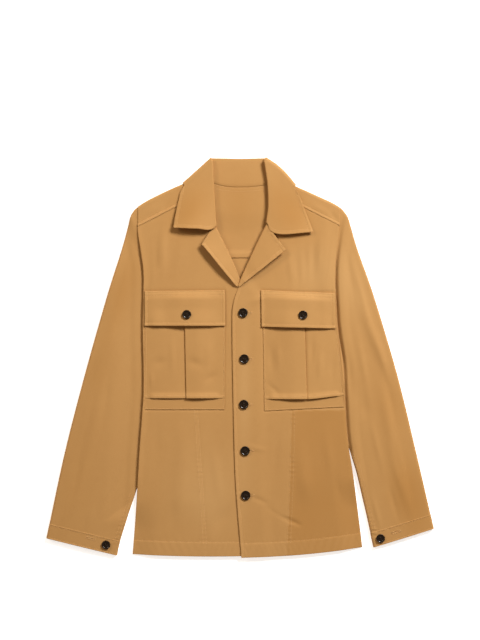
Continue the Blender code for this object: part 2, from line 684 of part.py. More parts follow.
def flap_under(side):
    """Underside of a flap: on the front along its top seam, then on the pocket."""
    top, slit = POCKET[side]
    upper = FLAP_TOP[side]
    towards = math.copysign(1.0, top.inner_x - top.outer_x)

    def under(x, y):
        x, y = np.asarray(x, float), np.asarray(y, float)
        ends = sorted([(upper.outer_x, upper.outer_y), (upper.inner_x, upper.inner_y)])
        seam_y = np.interp(x, *zip(*ends))
        past = (x - top.pleat_x) * towards
        pleat = smooth((past + FLAP_PLEAT_LEAD) / FLAP_PLEAT_CLIMB)
        pleat = pleat * (1.0 - smooth((past - PLEAT_DEPTH - FLAP_PLEAT_FLAT) / PLEAT_RUN))
        pocket_height = LAYER + POCKET_PUFF + 2 * LAYER * pleat + GAP
        fall = smooth((seam_y - y) / FLAP_RISE_RUN)
        wave = FLAP_WAVE * (1.0 + np.sin(2 * math.pi * past / FLAP_WAVE_LENGTH))
        loose = smooth((seam_y - y - FLAP_LIFT_FROM) / FLAP_LIFT_RUN)
        return UNDER[side](x, y) + LAYER + pocket_height * fall + (FLAP_LIFT + wave) * loose

    return under


def flap(side):
    columns, rows = 15, 6
    plan = between(straight(FLAP_TOP[side], columns), straight(FLAP_BOTTOM[side], columns), rows)
    cloth(f"flap_{side}", [raise_points(plan, flap_under(side), FLAP_CLOTH)], FLAP_CLOTH)


def button(name, place, seat, diameter):
    """A turned button with a rounded rim and a dished middle, resting on its cloth."""
    radius, thickness = diameter / 2.0, BUTTON_THICKNESS
    profile = [(0.0, 0.0), (0.62 * radius, 0.0), (0.92 * radius, 0.22 * thickness),
               (radius, 0.55 * thickness), (0.94 * radius, 0.92 * thickness), (0.84 * radius, thickness),
               (0.68 * radius, 0.66 * thickness), (0.0, 0.6 * thickness)]
    bm = bmesh.new()
    verts = [bm.verts.new((r * MM, 0.0, z * MM)) for r, z in profile]
    edges = [bm.edges.new(pair) for pair in zip(verts, verts[1:])]
    bmesh.ops.spin(bm, geom=verts + edges, cent=(0, 0, 0), axis=(0, 0, 1), angle=2 * math.pi,
                   steps=BUTTON_SIDES, use_merge=True)
    bmesh.ops.remove_doubles(bm, verts=bm.verts, dist=0.01 * MM)
    bmesh.ops.recalc_face_normals(bm, faces=bm.faces)
    obj = new_object(name, bm)
    obj.location = (place.x * MM, place.y * MM, (seat + GAP) * MM)
    obj.data.set_sharp_from_angle(angle=math.radians(50.0))
    finish(obj, HORN, 0.25)


def seat_under(under, place, diameter, thickness):
    """The highest point of a cloth's upper face under a button."""
    angles = np.linspace(0.0, 2 * math.pi, 24)
    radii = (0.0, diameter / 4, diameter / 2)
    rings = [(place.x + r * np.cos(angles), place.y + r * np.sin(angles)) for r in radii]
    return max(float(np.max(under(x, y))) for x, y in rings) + thickness


def buttons():
    for number, place in enumerate(FRONT_BUTTONS, 1):
        seat = seat_under(right_under, place, FRONT_BUTTON, CLOTH)
        button(f"button_front_{number}", place, seat, FRONT_BUTTON)
    for side in SIDES:
        place = FLAP_BUTTONS[side]
        seat = seat_under(flap_under(side), place, FLAP_BUTTON, FLAP_CLOTH)
        button(f"button_flap_{side}", place, seat, FLAP_BUTTON)
        place = CUFF_BUTTONS[side]
        cuff_top = FREE_RISE + CLOTH + SLEEVE_CROWN
        button(f"button_cuff_{side}", place, cuff_top, CUFF_BUTTON)


def main():
    for obj in list(bpy.data.objects):
        bpy.data.objects.remove(obj, do_unlink=True)
    back()
    yoke()
    collar()
    for side in SIDES:
        front(side)
        lapel(side)
        sleeve(side)
        pocket(side)
        flap(side)
    buttons()


main()
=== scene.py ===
"""Cotton overshirt laid flat: fine cloth on the solids' forms, its sewing, its buttons and a plain stage.

X runs to the right, Y towards the collar and Z up, with the floor at zero. The tables and inner sizes are in
millimetres, left and right are as seen from above, and the meshes are in metres.
"""

import math
from collections import namedtuple

import bmesh
import bpy
import numpy as np
from mathutils import Matrix, Vector
from mathutils.bvhtree import BVHTree


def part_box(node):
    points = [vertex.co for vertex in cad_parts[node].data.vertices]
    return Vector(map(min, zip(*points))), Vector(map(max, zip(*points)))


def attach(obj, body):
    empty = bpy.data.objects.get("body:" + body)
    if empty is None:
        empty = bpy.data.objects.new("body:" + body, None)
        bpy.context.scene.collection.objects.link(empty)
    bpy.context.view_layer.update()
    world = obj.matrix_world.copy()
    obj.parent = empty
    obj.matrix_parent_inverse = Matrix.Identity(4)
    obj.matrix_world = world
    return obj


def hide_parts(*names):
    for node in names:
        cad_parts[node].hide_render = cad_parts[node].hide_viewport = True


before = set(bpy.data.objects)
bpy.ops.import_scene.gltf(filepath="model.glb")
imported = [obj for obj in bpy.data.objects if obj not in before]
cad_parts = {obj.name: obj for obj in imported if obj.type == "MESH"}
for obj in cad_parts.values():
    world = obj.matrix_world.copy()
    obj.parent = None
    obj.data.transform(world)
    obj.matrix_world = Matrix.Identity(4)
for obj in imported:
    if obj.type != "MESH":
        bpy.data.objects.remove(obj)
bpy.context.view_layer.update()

bl_info = {
    "name": "Flat-laid overshirt",
    "version": (1, 0, 0),
    "blender": (4, 5, 0),
    "location": "3D View > Sidebar > Overshirt",
    "description": "Cloth, sewing and buttons of a cotton overshirt laid flat, with a plain stage",
    "category": "Object",
}

MM = 0.001
TINY = 1e-9
FINE_STEPS = 240
SIDES = {"left": -1.0, "right": 1.0}

# Cloth thicknesses, and the gaps between two pieces at a seam
CLOTH = 1.2
COLLAR_CLOTH = 1.6
FLAP_CLOTH = 1.8
CUFF_CLOTH = 1.8
GAP = 0.3
NECK_GAP = 1.2
LAYER = CLOTH + GAP

# Heights of the fronts' underside over the floor
MIDDLE_LOFT = 6.6
SLEEVE_LOFT = 7.4
LOFT_FROM = 40.0
LOFT_RUN = 45.0
DROOP_FROM = {"left": -262.0, "right": -222.0}
DROOP_RUN = 60.0
DROOP_WIDTH = 45.0

# Back panel and yoke
BACK_WIDTH = 380.0
BACK_LENGTH = 550.0
BACK_INSET = 2.0
BACK_HEM_FROM = -2.0
SHOULDER_RUN = 150.0
YOKE_LENGTH = 140.0
YOKE_FLAP = 45.0
ARMHOLE_TURN = 8.0
YOKE_SEAM = 186.4
YOKE_LAP = 5.0
YOKE_LAP_CLEAR = 1.0
YOKE_LAP_RUN = 10.0
CRUMPLE_GROWTH = 3.0
YOKE_LIP = {"left": 0.9, "right": 0.3}
YOKE_LIP_SHARE = 0.18
BACK_HEM = -364.0
BACK_HEM_RISE = 12.5
BACK_HEM_SAG = 7.0

# Where the right front rises to lap over the left one
OVERLAP_CLEAR = 2.0
OVERLAP_RUN = 24.0

# Sleeve tubes
SLEEVE_WIDTH = 250.0
SLEEVE_LENGTH = 640.0
RING_STEPS = 1.5
GRAIN_FROM = 5
FOLD_FADE = 8.0
CREASE_CLEAR = 2.0
CREASE_RUN = 8.0
NESTED_RISE = {"left": 1.9, "right": 3.2}
FREE_RISE = 7.2
FREE_FROM = {"left": 3.0, "right": 1.0}
FREE_RUN = {"left": 60.0, "right": 7.0}
SLEEVE_CROWN = 1.2
CAP_FROM = 235.0
CAP_RUN = 35.0
CAP_RISE = 4.6
CAP_FREE_RUN = 9.0
CUFF_LENGTH = 28.0
SLEEVE_CLEAR = 26.0
SLEEVE_CLIMB = 14.0
EXIT_RUN = 45.0

# Chest pockets and their flaps
POCKET_LENGTH = 180.0
POCKET_OUTER_HALF = 88.0
POCKET_INNER_HALF = 58.0
BAND_WIDTH = 148.0
BAND_LENGTH = 24.0
FLAP_WIDTH = 150.0
FLAP_LENGTH = 65.0
FLAP_HUG = 6.0
PLEAT_POINTS = 8
TUCK_POINTS = 6
POCKET_TOP_UNDER_FLAP = 20.0
PLEAT_DEPTH = 13.0
PLEAT_STEP = 4.0
PLEAT_RUN = 40.0
POCKET_PUFF = 1.0
SLIT_LIFT = 0.5
SLIT_LIFT_RATE = 6.0
BAND_TUCK = 4.0
BAND_CLIMB_FROM = 3.0 * BAND_TUCK
BAND_CLIMB = 2.0 * BAND_TUCK
FLAP_RISE_RUN = 16.0
FLAP_LIFT = {"left": 1.8, "right": 1.0}
FLAP_LIFT_FROM = 30.0
FLAP_LIFT_RUN = 35.0
FLAP_WAVE = 0.7
FLAP_WAVE_LENGTH = 82.0
FLAP_PLEAT_LEAD = 44.0
FLAP_PLEAT_CLIMB = 40.0
FLAP_PLEAT_FLAT = 12.0

# Collar and lapels
COLLAR_FALL = 72.0
LAPEL_FALL = 34.0
LAPEL_ROWS = 72
LAPEL_TOP_ROWS = 10
LAPEL_TOP = 0.35
WING_FADE_FROM = 8.0
WING_FADE = 6.0
FALL_FADE = 4.0
FALL_EDGE_MIDDLE = 289.0
FALL_EDGE_RISE = 34.0
FALL_EDGE_HALF = 107.0
FALL_MARGIN = 60.0
FALL_RUN = 44.0
BOW_POWER = 0.45
DIP_AT = 0.15
DIP_WIDTH = 0.14
FOLD_BOW = 6.0
FOLD_BOW_RIBS = 10.0

# Fronts: their grid, their hem, and edges that roll down, lift or flare
FRONT_WIDTH = 205.0
FRONT_RUN = 620.0
SEAM_END_CLEAR = 5.0
HEM = 27.0
HEM_ROWS = np.arange(-4.0, 4.5, 1.0)
HEM_BOW = {"left": -2.5, "right": -4.0}
HEM_BOW_POWER = 6
SIDE_ROLL = {"left": 0.0, "right": 0.5}
SIDE_ROLL_WIDTH = 2.2
EDGE_LIFT = {"left": 0.0, "right": 0.6}
EDGE_LIFT_WIDTH = 9.0
EDGE_LIFT_RUN = 30.0
SIDE_FLARE = {"left": 1.9, "right": 0.0}
FLARE_WIDTH = 7.0
FLARE_END = -262.0
FLARE_TOP = 265.0
FLARE_RUN = 45.0
FLARE_LOW = 0.55

# Points of the fine cloth along each rib of the collar, and round each turned edge
STAND_POINTS = 9
TURN_POINTS = 7
WING_RIBS = 44
BACK_RIBS = 41
FOLD_ROWS = 9
SHOULDER_POINTS = 8

# Turned and stitched edges: padded up to the stitches, pressed in at them, puckered along them
EDGE_ROWS = np.array([0.0, 1.7, 2.8, 4.0, 5.0, 6.0, 7.0, 8.0, 9.0, 10.0, 11.0])
EDGE_PAD = 0.45
EDGE_FALL = 2.5
STITCH_SINK = 0.55
STITCH_WIDTH = 1.2
PUCKER = 0.08
PUCKER_AT = 0.6
PUCKER_SPREAD = 0.7
PUCKER_MARGIN = 2.0
SEAM_PUCKER = 0.36
SEAM_PUCKER_WIDTH = 6.0
CUFF_PUCKER = 1.6
SHIRT_EDGE = 6.0
COLLAR_EDGE = 6.5
NARROW_EDGE = 2.6
FLAP_SEAM = 9.0
FELL = 7.0
FELL_HEIGHT = 0.16
FELL_RUN = 1.5
FELL_STITCH = FELL - 1.0
SLEEVE_FELL_AT = 2.5
PANEL_TOP_RUN = 8.0
FOLD_TAPER = 4.8

# How far the sleeves sink beside the fronts' edges, and how wide
GULLY_DEPTH = {"left": 0.4, "right": 1.6}
GULLY_AT = 2.0
GULLY_WIDTH = 3.5

# Shares of the creases' heights
CREASE_SHARE = {"left": 0.75, "right": 0.95}
FRONT_CREASE_SHARE = 1.5
POCKET_CREASE_SHARE = 1.4

# Sewn-on patches sink a little into the front, and the rims of two pieces meet in a seam
RECESS = 1.0
RECESS_RUN = 2.0
SEAM_LAP = 0.9
CUFF_LAP = 1.2
SLEEVE_SEAM_FROM = {"left": 322.0, "right": 252.0}

# Pocket slits: closed at their ends, open between them, with one outer end drawn up
SLIT_END = 7.0
SLIT_END_RUN = 8.0
SLIT_RISE = {"left": 0.0, "right": 6.0}
PLEAT_ROLL = {"left": 0.0, "right": 2.0}
PLEAT_ROLL_CLEAR = 0.8
PLEAT_ROLL_RISE = 3.0
PLEAT_ROLL_WIDTH = 26.0

# Stitch lines: distances from an edge or a seam, and from the ends of a line
LINE_STEP = 1.0
EDGE_STITCH = 1.6
STITCH_TRIM = 4.0
YOKE_STITCH = 2.0
YOKE_TRIM = 6.0
NECK_STITCHES = (2.0, 8.0)
NECK_SKIP = 4
SLEEVE_STITCHES = (4.0, 9.0)
CUFF_TRIM = 1.0
POCKET_TRIM = 2.0
HOLE_PITCH = 0.7
HOLE_MARGIN = 0.01
HOLE_SLIT = 0.35
HOLE_SHIFT = 6.5
RAY_HEIGHT = 100.0

# Buttons, in metres and degrees, and their threads
BUTTON_SIDES = 56
DRILL_SIDES = 16
FACE_LIMIT = 0.9
DISH_SLOPE = 0.8
ROUNDING = 0.0007
ROUNDING_STEPS = 4
ROUNDING_ANGLE = 25.0
SMOOTH_ANGLE = 35.0
THREAD_SHIFT = 0.35
BUTTON_THREAD = 0.4

# Finishes: sizes of the patterns, and their shares in the tone, in the painted light and shade with the darker
# side panel, and in the relief
BROAD_SCALE = 9.0
CLOUD_SCALE = 55.0
SLUB_SCALE = 620.0
TWILL_SCALE = 480.0
STREAK_SCALE = 240.0
BROAD_SHARE = 0.9
CLOUD_SHARE = 0.6
SLUB_SHARE = 0.5
TWILL_SHARE = 0.2
TONE_SHIFT = 0.64
SHADE_SHARE = 0.5
TONE_AND_PAINTED_LIGHT_EVEN = 0.6
TONE_AND_PAINTED_LIGHT_UNEVEN = 0.8
PRESSED_SHARE = 0.45
WEAVE_SHARE = 0.6
CLOTH_ROUGHNESS = 0.7
BUTTON_ROUGHNESS = 0.2
BUTTON_THREAD_ROUGHNESS = 0.6

# Stage, in metres
FLOOR_SIZE = 30.0
FLOOR_DROP = 0.0002
FLOOR_ROUGHNESS = 0.9
FILL_COLOUR = (1.0, 0.82, 0.62, 1.0)
GARMENT_LEVEL = 0.008

Point = namedtuple("Point", "x y")
Rib = namedtuple("Rib", "neck_x neck_y roll_x roll_y edge_x edge_y roll_lift middle_lift edge_lift bow dip")
BackRib = namedtuple("BackRib", "neck_x neck_y roll_x roll_y edge_x edge_y")
Lapel = namedtuple("Lapel", "roll_x roll_y edge_x edge_y roll_lift edge_lift")
Pocket = namedtuple("Pocket", "outer_x inner_x pleat_x y")
Flap = namedtuple("Flap", "outer_x outer_y inner_x inner_y")
Fold = namedtuple("Fold", "x y angle length width height")
Cut = namedtuple("Cut", "width length area")
Wave = namedtuple("Wave", "length slant drift drift_length drift_start swell swell_length swell_start")
Lamp = namedtuple("Lamp", "place width depth colour")

# Uneven waves that sewing draws into an edge and along a seam
EDGE_WAVES = [Wave(1.5, 4.0, 1.9, 31.0, 0.0, 0.4, 41.0, 0.0), Wave(2.4, -6.0, 1.4, 47.0, 1.0, 0.4, 29.0, 2.0)]
SEAM_WAVE = Wave(1.35, 1.0, 2.0, 23.0, 0.0, 0.45, 17.0, 1.0)

# Outline of the fronts at the armhole and the side, from shoulder to hem
SIDE_EDGE = {
    "left": [
        Point(-196.5, 271), Point(-191.5, 255), Point(-189.9, 232.5), Point(-184.3, 196),
        Point(-179.5, 152), Point(-181, 58), Point(-179, -47), Point(-182, -104),
        Point(-187, -172), Point(-192.5, -265), Point(-200, -365.5),
    ],
    "right": [
        Point(194, 269), Point(187.5, 255), Point(181.7, 218), Point(176.5, 157),
        Point(179.5, 80), Point(183, 44), Point(192, -14), Point(195, -80),
        Point(199.4, -147), Point(209.3, -209), Point(220.4, -291), Point(227.9, -352.5),
    ],
}

# Shoulder line, where the yoke folds over, from the armhole to the neck
SHOULDER = {
    "left": [
        Point(-190.5, 281.3), Point(-172, 292.8), Point(-142, 307.8), Point(-109, 322.3),
        Point(-57, 341),
    ],
    "right": [
        Point(185.5, 280.3), Point(170, 289.3), Point(146, 300.3), Point(112.5, 315.3),
        Point(57, 340),
    ],
}
FORWARD_SEAM_END = {"left": Point(-190.3, 244.5), "right": Point(185.5, 246)}

# Collar ribs of each wing, from the front end up to the side of the neck
WING = {
    "left": [
        Rib(-53, 246.5, -46, 245.5, -123.7, 241.5, 4, 13, 7, -5, -2.5),
        Rib(-58.5, 264, -47.5, 268, -120.8, 262, 3.5, 9, 4.5, -1, -0.8),
        Rib(-61.8, 286, -49, 300, -115.5, 288, 3, 5, 2, 0, 0),
        Rib(-63, 309, -50.5, 335, -110.5, 309, 3, 2.2, 0.8, 0, 0),
        Rib(-55.4, 338.9, -51.5, 363.4, -104, 321.5, 3, 1.2, 0.6, 0, 0),
    ],
    "right": [
        Rib(57, 254, 50.5, 251, 136, 234, 4, 6.5, 4, -17, 0),
        Rib(61.5, 268, 53.5, 275, 128.5, 255, 3.5, 4, 2, -5, 0),
        Rib(63.5, 287, 53.5, 299, 120.5, 275, 3, 2, 1, -1, 0),
        Rib(63.5, 307, 51, 332, 112, 299, 3, 1.2, 0.6, 0, 0),
        Rib(55.4, 337.9, 45.5, 365.4, 101, 318, 3, 1.2, 0.6, FOLD_BOW, 0),
    ],
}

# Collar ribs across the back of the neck, where the fall lies under the stand
BACK_COLLAR = [
    BackRib(-52, 326.5, -52.5, 370.6, -104, 321.5),
    BackRib(-30, 320.2, -28, 370.2, -62, 299),
    BackRib(0, 318.2, 0, 369.6, 0, 289),
    BackRib(30, 319.8, 28, 370.2, 62, 298),
    BackRib(50, 323, 46.5, 370.6, 101, 318),
]

# Lapel rows from the gorge seam down to where the fronts close
LAPEL = {
    "left": [
        Lapel(-46.5, 241, -57, 234, 3, 5),
        Lapel(-41.5, 231, -71.4, 211.5, 3, 9),
        Lapel(-30.5, 209, -56, 193, 3, 11),
        Lapel(-17, 182, -34.5, 166.5, 2.2, 9.5),
        Lapel(-4.5, 155, -10.5, 137, 0.6, 3.5),
    ],
    "right": [
        Lapel(51, 246.5, 85.2, 200.7, 3, 8),
        Lapel(44.5, 235, 76, 193.4, 3, 8.4),
        Lapel(33, 211, 62, 182.2, 3, 9),
        Lapel(18.5, 181, 36, 161.5, 2.2, 7.5),
        Lapel(3, 148, 8.5, 139.8, 0.6, 2.2),
    ],
}

# Stitched edges of the lapels: the right one's notch is its top edge
LAPEL_SEWN = {"left": ("end",), "right": ("end", "top")}

# Tapered ends of the lapels, beside the right front's edge
LAPEL_END = {
    "left": [Lapel(-1.6, 146, -6.6, 133.2, 0.4, 1), Lapel(-3.6, 136.5, -4.6, 131.8, 0.3, 0.3)],
    "right": [Lapel(0.2, 141, 3.8, 135.4, 0.4, 0.9), Lapel(-2.6, 133.6, -1.6, 131.6, 0.3, 0.3)],
}

# Front edges below the lapels: the left one is hidden, the right one shows
FRONT_EDGE = {
    "left": [
        Point(10, 133), Point(22, 112), Point(26, 90), Point(26.5, -20), Point(32, -228),
        Point(42, -368),
    ],
    "right": [
        Point(-3.7, 130), Point(-13, 98), Point(-14.7, 57), Point(-12.5, -86),
        Point(-8.4, -228), Point(2.4, -371.5),
    ],
}

FRONT_SEWN = {"left": {"bottom": HEM}, "right": {"bottom": HEM, "start": SHIRT_EDGE}}

# Folded edges of the flattened sleeves, from the shoulder to the cuff
SLEEVE_OUTER = {
    "left": [
        Point(-184, 285), Point(-194, 277.5), Point(-200, 270), Point(-203.8, 262),
        Point(-208.5, 243), Point(-220.4, 200), Point(-248.3, 111), Point(-289.2, -34), Point(-326.4, -179),
        Point(-359.9, -335.7),
    ],
    "right": [
        Point(181, 283), Point(189.3, 277), Point(195, 270), Point(200.2, 262),
        Point(206.8, 241), Point(219, 200), Point(250.2, 111), Point(293, -34), Point(328.3, -179),
        Point(360.3, -318),
    ],
}
SLEEVE_INNER = {
    "left": [
        Point(-90, 50), Point(-120, -35), Point(-157, -145), Point(-193.5, -247),
        Point(-222.3, -335.7), Point(-229.7, -367.4),
    ],
    "right": [
        Point(92, 46), Point(130, -35), Point(170, -115), Point(205.5, -175),
        Point(230, -267), Point(249, -352.5),
    ],
}

# Pocket edges and pleat at the top and at the slit, the band's lower edge, and the flaps
POCKET = {
    "left": [Pocket(-176.5, -28, -102.5, 124), Pocket(-177, -28.5, -98.8, -75)],
    "right": [Pocket(175, 42, 118, 123.5), Pocket(193.6, 45, 123.3, -76.5)],
}
BAND_BOTTOM = {"left": Flap(-177, -96, -29, -96), "right": Flap(193.6, -91, 45.3, -98.4)}
FLAP_TOP = {"left": Flap(-177.6, 124.5, -28, 126.5), "right": Flap(176.3, 120.5, 38.7, 126.5)}
FLAP_BOTTOM = {"left": Flap(-177.6, 59.5, -27.5, 59.5), "right": Flap(178, 54.5, 40, 57.8)}

# Seams that run from the pockets to the hem, and where the buttons and the left cuff's buttonhole are
PANEL_SEAM = {
    "left": [Point(-79, -97), Point(-70, -230), Point(-62, -349)],
    "right": [Point(96, -97), Point(93, -225), Point(88, -345)],
}
FRONT_BUTTONS = [
    Point(5.6, 84), Point(7.8, -1.7), Point(7.1, -86.3), Point(9.5, -172.6), Point(10.6, -255.2),
]
BUTTON_TURNS = {
    "button_front_1": 20, "button_front_2": 62, "button_front_3": 8, "button_front_4": 41,
    "button_front_5": 77, "button_flap_left": 33, "button_flap_right": 12,
    "button_cuff_left": 45, "button_cuff_right": 25,
}
FRONT_HOLE = Point(17, 4)
CUFF_HOLE = {"left": Point(-278, -335.5), "right": Point(290.5, -323.5)}
CUFF_HOLE_TURN = {"left": -13, "right": 17.0}
CUFF_HOLE_SIZE = Point(15, 5)

# Soft ridges pressed into the laid cloth, as in the solids
FRONT_FOLDS = [
    Fold(158, 185, 88, 150, 22, 2),
    Fold(-150, 190, 80, 120, 20, 1.6),
    Fold(-110, -220, 84, 210, 34, 1.8),
    Fold(120, -240, 97, 190, 30, 2),
]
SLEEVE_FOLDS = [
    Fold(-246, 20, 66, 150, 22, 2.4),
    Fold(-270, -120, 78, 170, 24, 2),
    Fold(-300, -250, 70, 120, 20, 1.8),
    Fold(252, 30, 112, 150, 22, 2.4),
    Fold(276, -120, 100, 170, 24, 2.2),
    Fold(300, -235, 108, 110, 20, 1.8),
]

# Creases: ridges have a height above zero, troughs below it
FRONT_CREASES = [
    Fold(-142, 186, 88, 75, 13, 0.8),
    Fold(-155, 182, 87, 70, 11, -0.6),
    Fold(-112, 192, 76, 70, 20, 0.6),
    Fold(-160, 150, 60, 45, 12, 0.6),
    Fold(94, 168, 95, 62, 13, 0.7),
    Fold(107, 164, 92, 60, 11, -0.5),
    Fold(148, 192, 87, 75, 12, 0.7),
    Fold(136, 188, 88, 72, 11, -0.6),
    Fold(168, 176, 84, 85, 11, 0.6),
    Fold(122, 178, 90, 55, 11, -0.5),
    Fold(-156, -156, 88, 85, 20, -0.5),
    Fold(-114, -146, 91, 80, 24, 0.3),
    Fold(-128, -300, 80, 70, 18, -0.7),
    Fold(-32, -297, 62, 60, 22, -0.9),
    Fold(-44, -215, 97, 85, 18, 0.6),
    Fold(61, -284, -34, 36, 10, -0.4),
    Fold(97, -304, -24, 58, 11, -1.6),
    Fold(104, -290, -24, 60, 13, 1),
    Fold(66, -270, -32, 36, 10, 0.4),
    Fold(36, -264, -22, 34, 9, -0.6),
    Fold(32, -168, -14, 34, 9, 0.5),
    Fold(66, -190, 84, 80, 16, -0.6),
    Fold(165, -180, 97, 90, 18, 0.7),
    Fold(186, -262, 100, 70, 13, -0.8),
    Fold(30, 108, 20, 40, 14, 0.6),
]
POCKET_CREASES = [
    Fold(-126, 5, 90, 62, 12, 0.7),
    Fold(-150, -8, 25, 26, 18, -0.8),
    Fold(-83, -10, -18, 30, 18, -0.8),
    Fold(-54, -36, 32, 26, 14, -0.7),
    Fold(-164, -42, 90, 26, 8, 0.6),
    Fold(-60, 10, 84, 44, 14, 0.6),
    Fold(58, 0, 92, 50, 13, -0.9),
    Fold(72, 2, 92, 50, 12, 0.7),
    Fold(134, 14, 86, 44, 9, -0.9),
    Fold(149, -14, 88, 55, 12, 0.9),
    Fold(63, -58, -42, 28, 10, -0.7),
    Fold(172, -20, 84, 50, 12, -0.6),
]
SLEEVE_CREASES = [
    Fold(-209, 170, 76, 80, 12, 0.6),
    Fold(-232, 112, 73, 100, 13, -0.8),
    Fold(-262, 8, 64, 75, 14, 0.9),
    Fold(-247, -62, 80, 80, 13, -0.9),
    Fold(-287, -100, 75, 80, 14, 0.8),
    Fold(-262, -172, 72, 90, 13, 0.8),
    Fold(-302, -212, 80, 80, 13, -0.8),
    Fold(-238, -246, 69, 70, 12, -1.1),
    Fold(-277, -292, 72, 60, 12, 0.8),
    Fold(-324, -290, 76, 60, 11, 0.6),
    Fold(228, 112, 104, 140, 14, 1.2),
    Fold(205, 150, 99, 90, 12, -0.9),
    Fold(204, -28, 94, 95, 17, -2.4),
    Fold(232, -92, 97, 45, 20, -1.2),
    Fold(228, -10, 100, 110, 13, 1.1),
    Fold(212, -186, 105, 120, 11, -1.2),
    Fold(263, 2, 106, 90, 13, 0.9),
    Fold(281, -82, 100, 80, 13, -0.8),
    Fold(254, -162, 103, 90, 13, 0.9),
    Fold(302, -202, 102, 80, 13, 0.8),
    Fold(286, -270, 105, 65, 12, -0.9),
    Fold(254, -288, 104, 60, 11, 0.8),
]
YOKE_CREASES = [
    Fold(-160, 276, 30, 34, 13, 0.6),
    Fold(-138, 284, 60, 24, 10, -0.5),
    Fold(150, 276, -28, 34, 12, 0.6),
    Fold(176, 262, -50, 24, 9, -0.5),
]
BACK_CREASES = [
    Fold(-70, 40, 84, 170, 26, 0.9),
    Fold(60, -40, 96, 190, 24, 0.8),
    Fold(-110, -210, 80, 140, 22, 0.8),
    Fold(120, -230, 100, 130, 22, 0.9),
    Fold(10, -260, 88, 120, 20, 0.7),
]

# Darker tone of the right side panel and its strength, then patches of painted shade above zero and of painted
# light below it, which darken or pale the cloth for how the light falls on it
PANEL_DARKENING = 0.75
PAINTED_LIGHT_PATCHES = [
    Fold(282, -90, 102, 150, 75, 0.4),
    Fold(318, -262, 105, 170, 80, 1),
    Fold(-300, -230, 76, 260, 85, 0.2),
    Fold(-262, -20, 74, 150, 60, 0.3),
    Fold(-92, 276, 60, 110, 75, 0.75),
    Fold(92, 272, -60, 110, 75, 0.85),
    Fold(0, 285, 90, 120, 70, 0.5),
    Fold(-218, 125, 74, 170, 50, 0.6),
    Fold(206, 130, 100, 150, 70, -0.4),
    Fold(138, 160, 90, 110, 90, -0.5),
    Fold(-60, -250, 90, 170, 120, -0.6),
    Fold(8, -60, 90, 330, 24, -0.35),
]

# Soft lights, in metres
KEY_LAMP = Lamp((1.6, 2.05, 2.1), 1.3, 0.7, (1.0, 1.0, 1.0))
SIDE_LAMP = Lamp((-3.4, 2.6, 3.0), 2.0, 1.1, (1.0, 0.92, 0.82))


def smooth(t):
    t = np.clip(t, 0.0, 1.0)
    return t * t * (3.0 - 2.0 * t)


def bell(distance, width):
    """1 at no distance, falling away evenly on both sides."""
    return np.exp(-((distance / width) ** 2))


def steps_inside(start, end, count):
    """Even steps between two ends, without the ends."""
    return np.linspace(start, end, count + 2)[1:-1]


def curve(rows, count):
    """Evenly numbered points on a smooth curve through all rows, whatever their columns."""
    rows = np.array(rows, float)
    padded = np.vstack([2 * rows[0] - rows[1], rows, 2 * rows[-1] - rows[-2]])
    at = np.linspace(0.0, len(rows) - 1.0, count)
    start = np.minimum(at.astype(int), len(rows) - 2)
    t = (at - start)[:, None]
    a, b, c, d = (padded[start + k] for k in range(4))
    return 0.5 * (2 * b + (c - a) * t + (2 * a - 5 * b + 4 * c - d) * t**2 + (3 * b - a - 3 * c + d) * t**3)


def walk(points, distances):
    """Points at the given distances along a line of points."""
    steps = np.linalg.norm(np.diff(points, axis=0), axis=1)
    run = np.concatenate([[0.0], np.cumsum(steps)])
    return np.stack([np.interp(distances, run, points[:, k]) for k in range(points.shape[1])], axis=1)


def length(points):
    return float(np.linalg.norm(np.diff(points, axis=0), axis=1).sum())


def stretch(rows, shares_along):
    """Points at shares of the length of the smooth curve through rows."""
    fine = curve(rows, FINE_STEPS)
    return walk(fine, shares_along * length(fine))


def even(rows, count):
    return stretch(rows, np.linspace(0.0, 1.0, count))


def edge_x(rows, y):
    """Where an edge that runs downwards lies at each height on the page."""
    fine = curve(rows, FINE_STEPS)
    return np.interp(-np.asarray(y, float), -fine[:, 1], fine[:, 0])


def shares(run, step, start=True, end=True):
    """Shares along a run at even steps, with closer ones beside its stitched ends."""
    marks = np.linspace(0.0, run, max(3, round(run / step) + 1))
    clear = EDGE_ROWS[-1] + step / 2
    if start:
        marks = np.concatenate([EDGE_ROWS, marks[marks > clear]])
    if end:
        marks = np.concatenate([marks[marks < run - clear], (run - EDGE_ROWS)[::-1]])
    return marks / run


def ridges(folds, x, y):
    """Height added by soft ridges, each one long, narrow and rounded."""
    total = np.zeros_like(np.asarray(x, float))
    for fold in folds:
        turn = math.radians(fold.angle)
        along = (x - fold.x) * math.cos(turn) + (y - fold.y) * math.sin(turn)
        across = (y - fold.y) * math.cos(turn) - (x - fold.x) * math.sin(turn)
        reach = (along / fold.length) ** 2 + (across / fold.width) ** 2
        total = total + fold.height * np.exp(-FOLD_TAPER * reach)
    return total


def inside(side, x, y):
    """How far a point lies inside the fronts' outline, measured across."""
    return -SIDES[side] * (x - edge_x(SIDE_EDGE[side], y))


def neck_edge(side):
    """The front's edge along the neck seam and the lapel's roll, a gap away from what it is sewn to."""
    shift = SIDES[side] * NECK_GAP
    neck = [Point(rib.neck_x + shift, rib.neck_y) for rib in reversed(WING[side][:-1])]
    roll = [Point(row.roll_x + shift, row.roll_y) for row in LAPEL[side]]
    return neck + roll + FRONT_EDGE[side]


